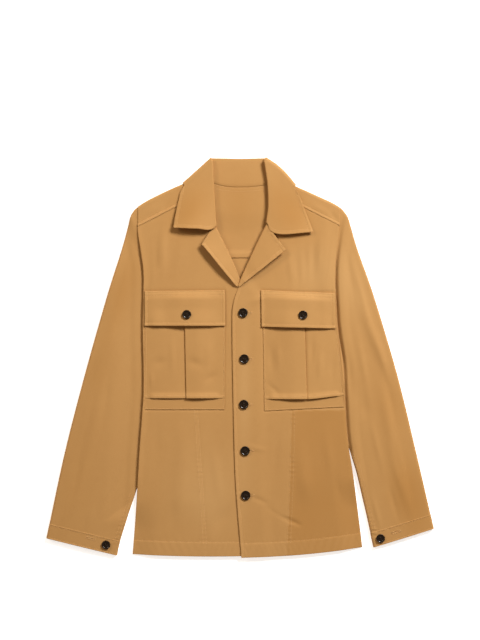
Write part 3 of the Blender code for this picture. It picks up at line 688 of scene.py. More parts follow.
def on_patch(top, bottom, x, y):
    """1 on a sewn-on patch, falling to 0 a little way off its edges."""
    sign = math.copysign(1.0, top.outer_x)
    down = np.clip((top.outer_y - y) / (top.outer_y - bottom.outer_y), 0.0, 1.0)
    outer = top.outer_x + (bottom.outer_x - top.outer_x) * down
    inner = top.inner_x + (bottom.inner_x - top.inner_x) * down
    across = np.clip((x - outer) / (inner - outer), 0.0, 1.0)
    upper = top.outer_y + (top.inner_y - top.outer_y) * across
    lower = bottom.outer_y + (bottom.inner_y - bottom.outer_y) * across
    off = np.minimum.reduce([sign * (outer - x), sign * (x - inner), upper - y, y - lower])
    return smooth(off / RECESS_RUN + 1.0)


def recess(side, x, y):
    """How far the front sinks under the pocket, its band and its flap."""
    top = POCKET[side][0]
    pocket = on_patch(Flap(top.outer_x, top.y, top.inner_x, top.y), BAND_BOTTOM[side], x, y)
    return RECESS * np.maximum(pocket, on_patch(FLAP_TOP[side], FLAP_BOTTOM[side], x, y))


def left_under(x, y):
    """Underside of the left front, and of everything at that level."""
    x, y = np.asarray(x, float), np.asarray(y, float)
    under = MIDDLE_LOFT + (SLEEVE_LOFT - MIDDLE_LOFT) * smooth((np.abs(x) - LOFT_FROM) / LOFT_RUN)
    under = under + ridges(FRONT_FOLDS, x, y) + FRONT_CREASE_SHARE * ridges(FRONT_CREASES, x, y)
    for side, sign in SIDES.items():
        seam = LAYER + (MIDDLE_LOFT - LAYER) * smooth(inside(side, x, y) / DROOP_WIDTH)
        share = smooth((DROOP_FROM[side] - y) / DROOP_RUN)
        drooped = under + (np.minimum(seam, under) - under) * share - recess(side, x, y)
        under = np.where(x * sign > 0, drooped, under)
    return under


def right_under(x, y):
    """Underside of the right front, raised where it laps over the left one."""
    past = np.asarray(x, float) - edge_x(neck_edge("left"), y) - OVERLAP_CLEAR
    return left_under(x, y) + LAYER * (1.0 - smooth(past / OVERLAP_RUN))


UNDER = {"left": left_under, "right": right_under}


def yoke_lift(x, y):
    """How far the yoke's back layer is raised over the collar's fall and the back's top edge."""
    x, y = np.asarray(x, float), np.asarray(y, float)
    fall_edge = FALL_EDGE_MIDDLE + FALL_EDGE_RISE * (x / FALL_EDGE_HALF) ** 2
    over_fall = (COLLAR_CLOTH + GAP) * smooth((y - fall_edge + FALL_MARGIN) / FALL_RUN)
    lap_end = YOKE_SEAM + YOKE_LAP + YOKE_LAP_CLEAR
    return over_fall + LAYER * smooth((lap_end + YOKE_LAP_RUN - y) / YOKE_LAP_RUN)


def normals_of(line):
    """Unit normals of a plan line, to its left."""
    run = np.gradient(line, axis=0)
    run /= np.linalg.norm(run, axis=1)[:, None]
    return np.stack([-run[:, 1], run[:, 0]], axis=1)


def fold_rows(low, high, outward, count):
    """Rows that carry a sheet from its low layer round a half circle to its high layer."""
    middle, radius = (low + high) / 2.0, (high[:, 2] - low[:, 2]) / 2.0
    rows = []
    for angle in steps_inside(-math.pi / 2, math.pi / 2, count):
        row = middle.copy()
        row[:, :2] += (radius * math.cos(angle))[:, None] * outward
        row[:, 2] += radius * math.sin(angle)
        rows.append(row)
    return rows


def roll_over(start, end, towards):
    """Points that carry a section round from one layer to the next, bulging one way in plan."""
    middle, radius = (start + end) / 2.0, (end - start) / 2.0
    lead = np.append(towards, 0.0) * abs(radius[2])
    return [middle - radius * math.cos(angle) + lead * math.sin(angle)
            for angle in steps_inside(0.0, math.pi, TURN_POINTS)]


def raise_points(plan, under, thickness, lift=0.0):
    """Plan points set on a surface, at the middle of a wall of that thickness."""
    z = under(plan[..., 0], plan[..., 1]) + lift + thickness / 2.0
    return np.concatenate([plan, z[..., None]], axis=-1)


def between(start, end, shares_across):
    """Rows of points, each row straight from a start point to an end point."""
    share = np.asarray(shares_across, float)[None, :, None]
    return start[:, None, :] * (1.0 - share) + end[:, None, :] * share


def straight(ends, shares_along):
    """Points from an edge's outer end to its inner end."""
    start, end = np.array([[ends.outer_x, ends.outer_y]]), np.array([[ends.inner_x, ends.inner_y]])
    return between(start, end, shares_along)[0]


def spans(grid):
    """Distances of each point of a grid from its top, bottom, start and end edges."""
    points = grid[..., :3]
    down = np.cumsum(np.linalg.norm(np.diff(points, axis=0), axis=2), axis=0)
    down = np.concatenate([np.zeros((1, grid.shape[1])), down])
    along = np.cumsum(np.linalg.norm(np.diff(points, axis=1), axis=2), axis=1)
    along = np.concatenate([np.zeros((grid.shape[0], 1)), along], axis=1)
    return {"top": down, "bottom": down[-1:] - down, "start": along, "end": along[:, -1:] - along}


def wave_at(wave, run, distance=0.0):
    """Uneven drawing-in of the cloth along a seam, from -1 to 1."""
    drift = wave.drift * np.sin(run / wave.drift_length + wave.drift_start)
    swell = 1.0 - wave.swell + wave.swell * np.sin(run / wave.swell_length + wave.swell_start)
    return np.sin(run / wave.length + distance / wave.slant + drift) * swell


def turned_edge(distance, run, inset):
    """Height of a turned and stitched edge at a distance from the edge and along its run."""
    pad = EDGE_PAD * (1.0 - smooth((distance - inset) / EDGE_FALL))
    sink = STITCH_SINK * bell(distance - inset, STITCH_WIDTH)
    uneven = sum(wave_at(wave, run, distance) for wave in EDGE_WAVES)
    reach = bell(distance - PUCKER_AT * inset, PUCKER_SPREAD * inset + PUCKER_MARGIN)
    return pad - sink + PUCKER * (1.0 + inset / HEM) * uneven * reach


# The edge from which the run along each edge is measured
ALONG = {"top": "start", "bottom": "start", "start": "top", "end": "top"}


def sewn(grid, share=1.0, **insets):
    """The grid with turned, stitched edges, and with their height as a fourth column."""
    span = spans(grid)
    relief = sum(turned_edge(span[edge], span[ALONG[edge]], inset) for edge, inset in insets.items()) * share
    out = np.concatenate([grid[..., :3], np.broadcast_to(relief, grid.shape[:2])[..., None]], axis=-1)
    out[..., 2] += relief
    if grid.shape[-1] == 4:
        out[..., 3] += grid[..., 3]
    return out


def along_edge(grid, edge, inset, trim=0.0):
    """Plan points at a distance inside one edge of a grid."""
    lines, away = grid, spans(grid)[edge]
    if edge in ("top", "bottom"):
        lines, away = np.swapaxes(lines, 0, 1), away.T
    if edge in ("bottom", "end"):
        lines, away = lines[:, ::-1], away[:, ::-1]
    line = np.array([[np.interp(inset, d, row[:, k]) for k in (0, 1)] for row, d in zip(lines, away)])
    return walk(line, np.arange(trim, length(line) - trim, LINE_STEP))


def polyline(points):
    line = curve(points, FINE_STEPS)
    return walk(line, np.arange(0.0, length(line), LINE_STEP))


def flat_uv(grid):
    """The grid's points laid flat and face up, in metres: across its rows, down its middle column."""
    span = spans(grid)
    middle = grid.shape[1] // 2
    across = span["start"] - span["start"][:, middle:middle + 1]
    down = np.repeat(span["top"][:, middle:middle + 1], grid.shape[1], axis=1)
    over, under = np.diff(grid[:-1], axis=1), np.diff(grid[:, :-1], axis=0)
    seen = grid[:-1, :-1, 2] >= grid[..., 2].mean()
    facing = ((over[..., 0] * under[..., 1] - over[..., 1] * under[..., 0]) * seen).sum()
    return np.stack([-math.copysign(1.0, facing) * across, down], axis=-1) * MM


def grain_uv(grid, grain):
    """The points of a flattened tube in metres, down the grain and across it, with its face outwards."""
    down = grid[..., :2] @ grain
    across = grid[..., :2] @ np.array([-grain[1], grain[0]])
    seen = grid[..., 2] >= grid[..., 2].mean()
    return np.stack([np.where(seen, across, -across), down], axis=-1) * MM


def corner_quads(values, ring):
    """The four corners of each quad of a grid of values."""
    if ring:
        values = np.concatenate([values, values[:, :1]], axis=1)
    corners = [values[:-1, :-1], values[:-1, 1:], values[1:, 1:], values[1:, :-1]]
    return np.stack([c.reshape(-1, *values.shape[2:]) for c in corners], axis=1)


def unit_rows(vectors):
    return vectors / np.maximum(np.linalg.norm(vectors, axis=1), TINY)[:, None]


def shell(points, quads, half):
    """A closed wall with a rounded rim on a sheet: its vertices, faces, and each vertex's sheet point."""
    corners = points[quads]
    face_normals = np.cross(corners[:, 2] - corners[:, 0], corners[:, 3] - corners[:, 1])
    normals = np.zeros_like(points)
    for k in range(4):
        np.add.at(normals, quads[:, k], face_normals)
    normals = unit_rows(normals)
    edges = np.concatenate([quads[:, [k, (k + 1) % 4]] for k in range(4)])
    _, first, uses = np.unique(np.sort(edges, axis=1), axis=0, return_index=True, return_counts=True)
    rim = edges[first[uses == 1]]
    out_of_edge = np.cross(points[rim[:, 1]] - points[rim[:, 0]], normals[rim[:, 0]] + normals[rim[:, 1]])
    out_of_edge = unit_rows(out_of_edge)
    outward = np.zeros_like(points)
    np.add.at(outward, rim[:, 0], out_of_edge)
    np.add.at(outward, rim[:, 1], out_of_edge)
    outward = unit_rows(outward)
    seat = points - outward * half
    count, border = len(points), np.unique(rim)
    place = np.zeros(count, int)
    place[border] = np.arange(len(border))
    layers = [seat + normals * half, seat - normals * half]
    angles = (math.pi / 4, math.pi / 2, 3 * math.pi / 4)
    layers += [(seat + half * (normals * math.cos(a) + outward * math.sin(a)))[border] for a in angles]
    rings = [rim] + [2 * count + k * len(border) + place[rim] for k in range(len(angles))] + [rim + count]
    faces = [quads, quads[:, ::-1] + count]
    faces += [np.stack([a[:, 1], a[:, 0], b[:, 0], b[:, 1]], axis=1) for a, b in zip(rings, rings[1:])]
    source = np.concatenate([np.arange(count), np.arange(count)] + [border] * len(angles))
    return np.vstack(layers), np.vstack(faces), source


def mesh_object(name, vertices, faces, material):
    mesh = bpy.data.meshes.new(name)
    mesh.from_pydata((vertices * MM).tolist(), [], faces.tolist())
    mesh.materials.append(material)
    mesh.shade_smooth()
    obj = bpy.data.objects.new(name, mesh)
    bpy.context.scene.collection.objects.link(obj)
    return obj


def panel_tone_and_painted_light_at(x, y):
    """How much darker the right front's side panel is, with patches of painted shade above zero and of painted
    light below it.
    """
    seam = PANEL_SEAM["right"]
    panel = smooth(x - edge_x(seam, y)) * smooth(seam[0].y - y) * (inside("right", x, y) > 0.0)
    return PANEL_DARKENING * panel + ridges(PAINTED_LIGHT_PATCHES, x, y)


def make_cloth(name, grids, thickness, grain=None):
    """A sewn piece of fine cloth: one wall through grids of points, joined where their points meet.

    A tube gives the way that its grain runs.
    """
    ring = grain is not None
    points, quads, corner_uv, tone, sheet_uv = [], [], [], [], []
    start = 0
    for grid in grids:
        rows, columns = grid.shape[:2]
        index = start + np.arange(rows * columns).reshape(rows, columns)
        uv = grain_uv(grid, grain) if ring else flat_uv(grid)
        quads.append(corner_quads(index, ring))
        corner_uv.append(corner_quads(uv, ring))
        points.append(grid[..., :3].reshape(-1, 3))
        tone.append(grid[..., 3].ravel() if grid.shape[-1] == 4 else np.zeros(rows * columns))
        sheet_uv.append(uv.reshape(-1, 2))
        start += rows * columns
    points, quads, corner_uv = np.vstack(points), np.vstack(quads), np.vstack(corner_uv)
    tone, sheet_uv = np.concatenate(tone), np.vstack(sheet_uv)
    _, keep, joined = np.unique(np.round(points, 2), axis=0, return_index=True, return_inverse=True)
    quads = joined.reshape(-1)[quads]
    vertices, faces, source = shell(points[keep], quads, thickness / 2)
    vertices[:, 2] = np.maximum(vertices[:, 2], 0.0)
    obj = mesh_object(name, vertices, faces, cloth_finish())
    loose = len(faces) - 2 * len(quads)
    rim_uv = sheet_uv[keep][source[faces[-loose:]]]
    uv = np.vstack([corner_uv, corner_uv[:, ::-1], rim_uv]).reshape(-1, 2)
    obj.data.uv_layers.new(name="Cut").data.foreach_set("uv", uv.ravel())
    # The pressed edges' height, and the darker side panel with its patches of painted shade and painted light
    looks = {"pressed": tone[keep][source], "panel_tone_and_painted_light": panel_tone_and_painted_light_at(vertices[:, 0], vertices[:, 1])}
    for look, values in looks.items():
        obj.data.attributes.new(look, "FLOAT", "POINT").data.foreach_set("value", values)
    return obj


# Stitches: shares along a stitch, its thickness and its height over the cloth, in thread radii
STITCH_RINGS = [(0.0, 0.35, -0.4), (0.28, 1.0, 0.35), (0.72, 1.0, 0.35), (1.0, 0.35, -0.4)]
STITCH_SIDES = 4


def spindles(starts, ends, radius):
    """Short threads from each start to its end, as vertices and faces."""
    run = ends - starts
    unit = run / np.linalg.norm(run, axis=1)[:, None]
    side = np.cross(unit, [0.0, 0.0, 1.0])
    side /= np.linalg.norm(side, axis=1)[:, None]
    lift = np.cross(side, unit)
    vertices = []
    for share, thick, height in STITCH_RINGS:
        centre = starts + run * share + lift * radius * height
        for k in range(STITCH_SIDES):
            angle = 2 * math.pi * (k + 0.5) / STITCH_SIDES
            vertices.append(centre + radius * thick * (math.cos(angle) * side + math.sin(angle) * lift))
    count = len(vertices)
    vertices = np.stack(vertices, axis=1).reshape(-1, 3)
    faces = [(0, 1, 2, 3), (count - 1, count - 2, count - 3, count - 4)]
    for ring in range(len(STITCH_RINGS) - 1):
        for k in range(STITCH_SIDES):
            a, b = ring * STITCH_SIDES + k, ring * STITCH_SIDES + (k + 1) % STITCH_SIDES
            faces.append((a, a + STITCH_SIDES, b + STITCH_SIDES, b))
    faces = np.array(faces)[None] + count * np.arange(len(starts))[:, None, None]
    return vertices, faces.reshape(-1, 4)


def hole_pairs(centre, size, turn):
    """Plan ends of the short threads that bind a buttonhole's two lips and its ends."""
    half, lip, turn = size.x / 2, size.y / 2, math.radians(turn)
    along, across = np.array([math.cos(turn), math.sin(turn)]), np.array([-math.sin(turn), math.cos(turn)])
    pairs = []
    for sign in (-1.0, 1.0):
        for x in np.arange(-half, half + HOLE_MARGIN, HOLE_PITCH):
            start = np.array(centre) + along * x + across * sign * HOLE_SLIT
            pairs.append((start, start + across * sign * lip))
        for steps in (1, 2):
            end = np.array(centre) + along * sign * (half + steps * HOLE_PITCH)
            pairs.append((end - across * lip, end + across * lip))
    return pairs


def sew(cloth, lines=(), pairs=()):
    """Stitches along plan lines, and between pairs of plan points, on the upper face of a piece."""
    settings = bpy.context.scene.overshirt_sewing
    pitch, stitch, radius = settings.pitch / MM, settings.stitch / MM, settings.thread / MM / 2
    tree = BVHTree.FromObject(cloth, bpy.context.evaluated_depsgraph_get())
    ends = [np.array(pair) for pair in pairs]
    for line in lines:
        begin = np.arange(0.0, length(line) - stitch, pitch)
        ends += list(np.stack([walk(line, begin), walk(line, begin + stitch)], axis=1))
    placed = []
    for pair in ends:
        above = [Vector((x, y, RAY_HEIGHT)) * MM for x, y in pair]
        hits = [tree.ray_cast(point, Vector((0.0, 0.0, -1.0)))[0] for point in above]
        if None not in hits:
            placed.append([tuple(hit / MM) for hit in hits])
    placed = np.array(placed)
    vertices, faces = spindles(placed[:, 0], placed[:, 1], radius)
    obj = mesh_object(cloth.name.replace("_cloth", "_stitches"), vertices, faces, thread_finish())
    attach(obj, "root")
    return obj


def declare(cloth, nodes, stitches=()):
    """Rides the cloth on the body in place of its solids."""
    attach(cloth, "root")
    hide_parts(*nodes)


def lay(piece, grids, thickness, lines, pairs=(), grain=None, nodes=None):
    """Makes a piece of cloth, sews it, and sets it in place of the solids."""
    cloth = make_cloth(f"{piece}_cloth", grids, thickness, grain)
    declare(cloth, nodes or [piece], [sew(cloth, lines, pairs)] if lines else [])


def back_grid(step):
    rows, columns = round(BACK_LENGTH / step), round(BACK_WIDTH / step)
    y = np.linspace(YOKE_SEAM + YOKE_LAP, BACK_HEM, rows)
    left = np.stack([edge_x(SIDE_EDGE["left"], y) + BACK_INSET, y], axis=1)
    right = np.stack([edge_x(SIDE_EDGE["right"], y) - BACK_INSET, y], axis=1)
    across = np.linspace(0.0, 1.0, columns)
    plan = between(left, right, across)
    down = smooth(np.linspace(BACK_HEM_FROM, 1.0, rows))
    hem = BACK_HEM_RISE * across - BACK_HEM_SAG * np.sin(math.pi * across)
    plan[..., 1] += down[:, None] * hem[None, :]
    return raise_points(plan, lambda x, y: ridges(BACK_CREASES, x, y), CLOTH)


def back_collar_rows():
    return curve(BACK_COLLAR, BACK_RIBS)


def yoke_grids(step):
    """The yoke's back layer, and its two shoulders that fold over to the forward seams."""
    columns, back_rows = round(SHOULDER_RUN / step), round(YOKE_LENGTH / step)
    flap_shares = shares(YOKE_FLAP, step, start=False)
    tops, shoulders = [], []
    for side, sign in SIDES.items():
        line = even(SHOULDER[side], columns)
        outward = normals_of(line) * -sign
        outward *= np.sign(outward[:, 1:2])
        outward[:, 0] *= smooth(np.linspace(0.0, ARMHOLE_TURN, columns))
        outward /= np.linalg.norm(outward, axis=1)[:, None]
        low_z = yoke_lift(line[:, 0], line[:, 1])
        radius = (UNDER[side](line[:, 0], line[:, 1]) - low_z) / 2.0
        plan = line - outward * radius[:, None]
        low = raise_points(plan, yoke_lift, CLOTH)
        high = raise_points(plan, UNDER[side], CLOTH)
        corner = WING[side][-2]
        seam_start = np.array([FORWARD_SEAM_END[side]])
        seam_end = np.array([[corner.neck_x + sign * NECK_GAP, corner.neck_y]])
        seam = between(seam_start, seam_end, np.linspace(0.0, 1.0, columns))[0]
        flap_plan = between(plan, seam, flap_shares)
        crumple = ridges(YOKE_CREASES, flap_plan[..., 0], flap_plan[..., 1])
        crumple = crumple * smooth(flap_shares * CRUMPLE_GROWTH)[None, :]
        lip = YOKE_LIP[side] * smooth((flap_shares - 1.0 + YOKE_LIP_SHARE) / YOKE_LIP_SHARE)
        flap = raise_points(flap_plan, UNDER[side], CLOTH, crumple + lip[None, :])
        rows = [low] + fold_rows(low, high, outward, FOLD_ROWS) + list(np.swapaxes(flap, 0, 1))
        shoulders.append(sewn(np.array(rows), bottom=SHIRT_EDGE))
        tops.append(low)
    neck = back_collar_rows()[1:-1, :2] - np.array([0.0, GAP])
    top = np.vstack([tops[0], raise_points(neck, yoke_lift, CLOTH), tops[1][::-1]])
    across = (top[:, 0] - top[0, 0]) / (top[-1, 0] - top[0, 0])
    seam_y = YOKE_SEAM + GAP / 2
    left_x = edge_x(SIDE_EDGE["left"], seam_y) + BACK_INSET
    right_x = edge_x(SIDE_EDGE["right"], seam_y) - BACK_INSET
    seam = np.stack([left_x + (right_x - left_x) * across, np.full(len(top), seam_y)], axis=1)
    sheet = raise_points(between(seam, top[:, :2], np.linspace(0.0, 1.0, back_rows)), yoke_lift, CLOTH)
    return [sheet] + shoulders


def panel_relief(side, grid):
    """Height of a front's panel seam: felled, pressed in at its stitches and puckered."""
    y = grid[..., 1]
    off = SIDES[side] * (grid[..., 0] - edge_x(PANEL_SEAM[side], y))
    below = smooth((PANEL_SEAM[side][0].y + PANEL_TOP_RUN - y) / PANEL_TOP_RUN)
    fell = FELL_HEIGHT * smooth(off / FELL_RUN) * (1.0 - smooth((off - FELL) / EDGE_FALL))
    drawn = SEAM_PUCKER * wave_at(SEAM_WAVE, y) * bell(off - FELL / 2, SEAM_PUCKER_WIDTH)
    return (fell - STITCH_SINK * bell(off, STITCH_WIDTH) + drawn) * below


def edge_drop(side, grid):
    """How far a front's edges roll down, or stand up where it is below zero."""
    span, y = spans(grid), grid[..., 1]
    roll = SIDE_ROLL[side] * bell(span["end"], SIDE_ROLL_WIDTH)
    lift = EDGE_LIFT[side] * bell(span["start"], EDGE_LIFT_WIDTH)
    lift = lift * smooth((FRONT_EDGE[side][0].y - y) / EDGE_LIFT_RUN)
    flare = smooth((y - FLARE_END) / FLARE_RUN) * smooth((FLARE_TOP - y) / FLARE_RUN)
    flare = flare * (FLARE_LOW + (1.0 - FLARE_LOW) * smooth(-y / FLARE_RUN))
    return roll - lift - SIDE_FLARE[side] * flare * bell(span["end"], FLARE_WIDTH)


def front_grid(side, step):
    seam_end = FORWARD_SEAM_END[side]
    outer = [seam_end] + [point for point in SIDE_EDGE[side] if point.y < seam_end.y - SEAM_END_CLEAR]
    rows, columns = shares(FRONT_RUN, step, start=False), shares(FRONT_WIDTH, step)
    hem_rows = 1.0 - (HEM + HEM_ROWS) / FRONT_RUN
    rows = np.sort(np.concatenate([rows[(rows < hem_rows[-1]) | (rows > hem_rows[0])], hem_rows]))
    lines = [stretch(neck_edge(side), rows), stretch(outer, rows)]
    for line in lines:
        line[0, 1] += SEAM_LAP
    plan = between(*lines, columns)
    bow = np.sin(math.pi * columns)
    plan[..., 1] += HEM_BOW[side] * (rows**HEM_BOW_POWER)[:, None] * bow[None, :]
    grid = sewn(raise_points(plan, UNDER[side], CLOTH), **FRONT_SEWN[side])
    relief = panel_relief(side, grid)
    grid[..., 2] += relief - edge_drop(side, grid)
    grid[..., 3] += relief
    return grid


def stand_and_fall(rib, stand_z, fall_z, fall_shares, bow=0.0, dip=0.0):
    """One rib of the collar, from the neck seam over the roll to the outer edge."""
    neck, roll, edge = np.array(rib[:6], float).reshape(3, 2)
    stand = between(neck[None], roll[None], np.linspace(0.0, 1.0, STAND_POINTS))[0]
    stand = np.column_stack([stand, stand_z(stand)])
    fall = between(roll[None], edge[None], fall_shares)[0]
    fall[:, 1] += bow * np.sin(math.pi * fall_shares**(BOW_POWER if bow < 0.0 else 1.0))
    fall[:, 1] += dip * bell(fall_shares - DIP_AT, DIP_WIDTH)
    fall = np.column_stack([fall, fall_z(fall, fall_shares)])
    up = (roll - neck) / np.linalg.norm(roll - neck)
    return np.vstack([stand, roll_over(stand[-1], fall[0], up), fall])


def wing_rib(side, row, fall_shares):
    """A rib of a wing, which lies on the front and the yoke."""
    rib = Rib(*row)

    def level(points):
        return UNDER[side](points[:, 0], points[:, 1]) + LAYER + COLLAR_CLOTH / 2

    def fall_z(points, share):
        lift = (rib.roll_lift * (1 - share) * (1 - 2 * share) + rib.middle_lift * 4 * share * (1 - share)
                + rib.edge_lift * share * (2 * share - 1))
        return level(points) + np.maximum(lift, GAP)

    return stand_and_fall(rib, level, fall_z, fall_shares, rib.bow, rib.dip)


def back_rib(row, fall_shares, bow=0.0):
    """A rib behind the neck: the stand lies on the fall, and the fall on the floor."""

    def fall_z(points, share=None):
        return np.full(len(points), COLLAR_CLOTH / 2)

    def stand_z(points):
        return fall_z(points) + COLLAR_CLOTH + GAP

    return stand_and_fall(BackRib(*row), stand_z, fall_z, fall_shares, bow)


def upward_normal(run):
    """Unit normal of a run in plan, on its upper side."""
    normal = run[::-1] * np.array([1.0, -1.0])
    return normal * np.sign(normal[1]) / np.linalg.norm(normal)


def collar_grid(step):
    fall_shares = shares(COLLAR_FALL, step, start=False)
    wings, folds = {}, {}
    ends = {"left": BACK_COLLAR[0], "right": BACK_COLLAR[-1]}
    for side in SIDES:
        wings[side] = [wing_rib(side, row, fall_shares) for row in curve(WING[side], WING_RIBS)]
        corner = WING[side][-1]
        low, high = back_rib(ends[side], fall_shares, corner.bow), wings[side][-1]
        shoulder = even(SHOULDER[side], SHOULDER_POINTS)
        stand_out = upward_normal(shoulder[-1] - shoulder[-2])
        fall_out = upward_normal(np.array([corner.edge_x - corner.roll_x, corner.edge_y - corner.roll_y]))
        turn = steps_inside(0.0, 1.0, TURN_POINTS)
        share = np.concatenate([np.zeros(STAND_POINTS), turn, np.ones(len(fall_shares))])[:, None]
        folds[side] = fold_rows(low, high, stand_out * (1 - share) + fall_out * share, FOLD_ROWS)
    bows = FOLD_BOW * smooth(1.0 - np.arange(BACK_RIBS)[::-1] / FOLD_BOW_RIBS)
    behind = [back_rib(row, fall_shares, bow) for row, bow in zip(back_collar_rows(), bows)]
    ribs = wings["left"] + folds["left"][::-1] + behind + folds["right"] + wings["right"][::-1]
    grid = np.array(ribs)
    place = np.minimum(np.arange(len(ribs)), np.arange(len(ribs))[::-1])
    on_wing = 1.0 - smooth((place - WING_RIBS + WING_FADE_FROM) / WING_FADE)
    on_fall = smooth((np.arange(grid.shape[1]) - STAND_POINTS - TURN_POINTS) / FALL_FADE)
    edges = {edge: COLLAR_EDGE for edge in ("end", "top", "bottom")}
    return sewn(grid, on_wing[:, None] * on_fall[None, :], **edges)


def lapel_grid(side, step):
    table = np.array(LAPEL[side] + LAPEL_END[side], float)
    top_rows = np.linspace(0.0, LAPEL_TOP, LAPEL_TOP_ROWS)
    at = np.unique(np.concatenate([np.linspace(0.0, len(table) - 1.0, LAPEL_ROWS), top_rows]))
    rows = np.stack([np.interp(at, np.arange(len(table)), column) for column in table.T], axis=1)
    fall_shares = shares(LAPEL_FALL, step, start=False)
    sheet = []
    for row in rows:
        row = Lapel(*row)
        roll, edge = np.array([row.roll_x, row.roll_y]), np.array([row.edge_x, row.edge_y])
        fall = between(roll[None], edge[None], fall_shares)[0]
        lift = GAP + row.roll_lift + (row.edge_lift - row.roll_lift) * fall_shares
        fall = raise_points(fall, UNDER[side], CLOTH, LAYER + lift)
        start = raise_points(roll[None], UNDER[side], CLOTH)[0]
        towards = (roll - edge) / np.linalg.norm(roll - edge)
        sheet.append(np.vstack([start[None], roll_over(start, fall[0], towards), fall]))
    grid = np.array(sheet)
    on_fall = smooth((np.arange(grid.shape[1]) - TURN_POINTS - 1.0) / FALL_FADE)
    edges = {edge: SHIRT_EDGE for edge in LAPEL_SEWN[side]}
    return sewn(grid, on_fall[None, :], **edges)


def sleeve_ring(side, outer, inner, thickness, columns):
    """A flattened ring, from the outer fold along the floor to the inner fold and back over the top."""
    across = (inner - outer) / np.linalg.norm(inner - outer)
    width = np.linalg.norm(inner - outer)
    cap = float(smooth((outer[1] - CAP_FROM) / CAP_RUN))
    nested = NESTED_RISE[side] + (CAP_RISE - NESTED_RISE[side]) * cap
    free_run = FREE_RUN[side] + (CAP_FREE_RUN - FREE_RUN[side]) * cap

    def beside(points):
        return smooth((points[:, 1] - DROOP_FROM[side] + EXIT_RUN) / EXIT_RUN)

    def rise(points):
        free = smooth(-(inside(side, points[:, 0], points[:, 1]) + FREE_FROM[side]) / free_run)
        free = np.maximum(free, 1.0 - beside(points))
        return nested + (FREE_RISE - nested) * free - (thickness - CLOTH)

    def base(points):
        over_back = smooth((inside(side, points[:, 0], points[:, 1]) + SLEEVE_CLEAR) / SLEEVE_CLIMB)
        return LAYER * over_back * beside(points) + thickness / 2

    ends = np.stack([outer, inner])
    outer_radius, inner_radius = rise(ends) / 2.0
    reach = np.linspace(outer_radius, width - inner_radius, columns)
    flat = outer + across * reach[:, None]
    share = (reach - reach[0]) / (reach[-1] - reach[0])
    free = (rise(flat) - nested + thickness - CLOTH) / (FREE_RISE - nested)
    x, y = flat[:, 0], flat[:, 1]
    crown = free * (SLEEVE_CROWN * np.sin(math.pi * share) + CREASE_SHARE[side] * ridges(SLEEVE_FOLDS, x, y))
    out = -inside(side, x, y)
    gully = GULLY_DEPTH[side] * (1.0 - cap) * bell(out - GULLY_AT, GULLY_WIDTH) * beside(flat)
    fade = smooth(FOLD_FADE * share) * smooth(FOLD_FADE * (1.0 - share))
    fade = fade * smooth((out - CREASE_CLEAR) / CREASE_RUN)
    creases = CREASE_SHARE[side] * ridges(SLEEVE_CREASES, x, y) * fade
    from_inner = width - reach
    past_fell = from_inner - SLEEVE_FELL_AT
    fell = FELL_HEIGHT * smooth(past_fell / FELL_RUN) * (1.0 - smooth((past_fell - FELL) / EDGE_FALL))
    drawn = SEAM_PUCKER * wave_at(SEAM_WAVE, y) * bell(from_inner - FELL, SEAM_PUCKER_WIDTH)
    seam = (fell + drawn) * (1.0 - beside(flat))
    low = np.column_stack([flat, base(flat)])
    high = np.column_stack([flat, base(flat) + rise(flat) + crown + creases - gully + seam])

    def turn(bottom, top, direction):
        middle, radius = (bottom + top) / 2.0, (top[2] - bottom[2]) / 2.0
        return [middle + np.append(direction * radius * math.cos(angle), radius * math.sin(angle))
                for angle in steps_inside(-math.pi / 2, math.pi / 2, TURN_POINTS)]

    return np.vstack([low, turn(low[-1], high[-1], across), high[::-1], turn(low[0], high[0], -across)[::-1]])


def sleeve_columns(step):
    return round(SLEEVE_WIDTH / step)


def sleeve_rings(side, step):
    """The rings of the sleeve tube, and those of its cuff."""
    outer, inner = curve(SLEEVE_OUTER[side], FINE_STEPS), curve(SLEEVE_INNER[side], FINE_STEPS)
    outer_length, inner_length = length(outer), length(inner)
    columns = sleeve_columns(step)

    def rings(outer_at, inner_at, thickness):
        places = zip(walk(outer, outer_at), walk(inner, inner_at))
        return np.array([sleeve_ring(side, a, b, thickness, columns) for a, b in places])

    share = shares(SLEEVE_LENGTH, RING_STEPS * step, start=False)
    tube_end = CUFF_LENGTH - CUFF_LAP
    tube = rings(share * (outer_length - tube_end), share * (inner_length - tube_end), CLOTH)
    from_edge = CUFF_LENGTH * (1.0 - shares(CUFF_LENGTH, step))
    cuff = rings(outer_length - from_edge, inner_length - from_edge, CUFF_CLOTH)
    on_top = CUFF_PUCKER * smooth((cuff[..., 2] - CUFF_CLOTH) / CUFF_CLOTH)
    return tube, sewn(cuff, on_top, top=NARROW_EDGE, bottom=NARROW_EDGE)


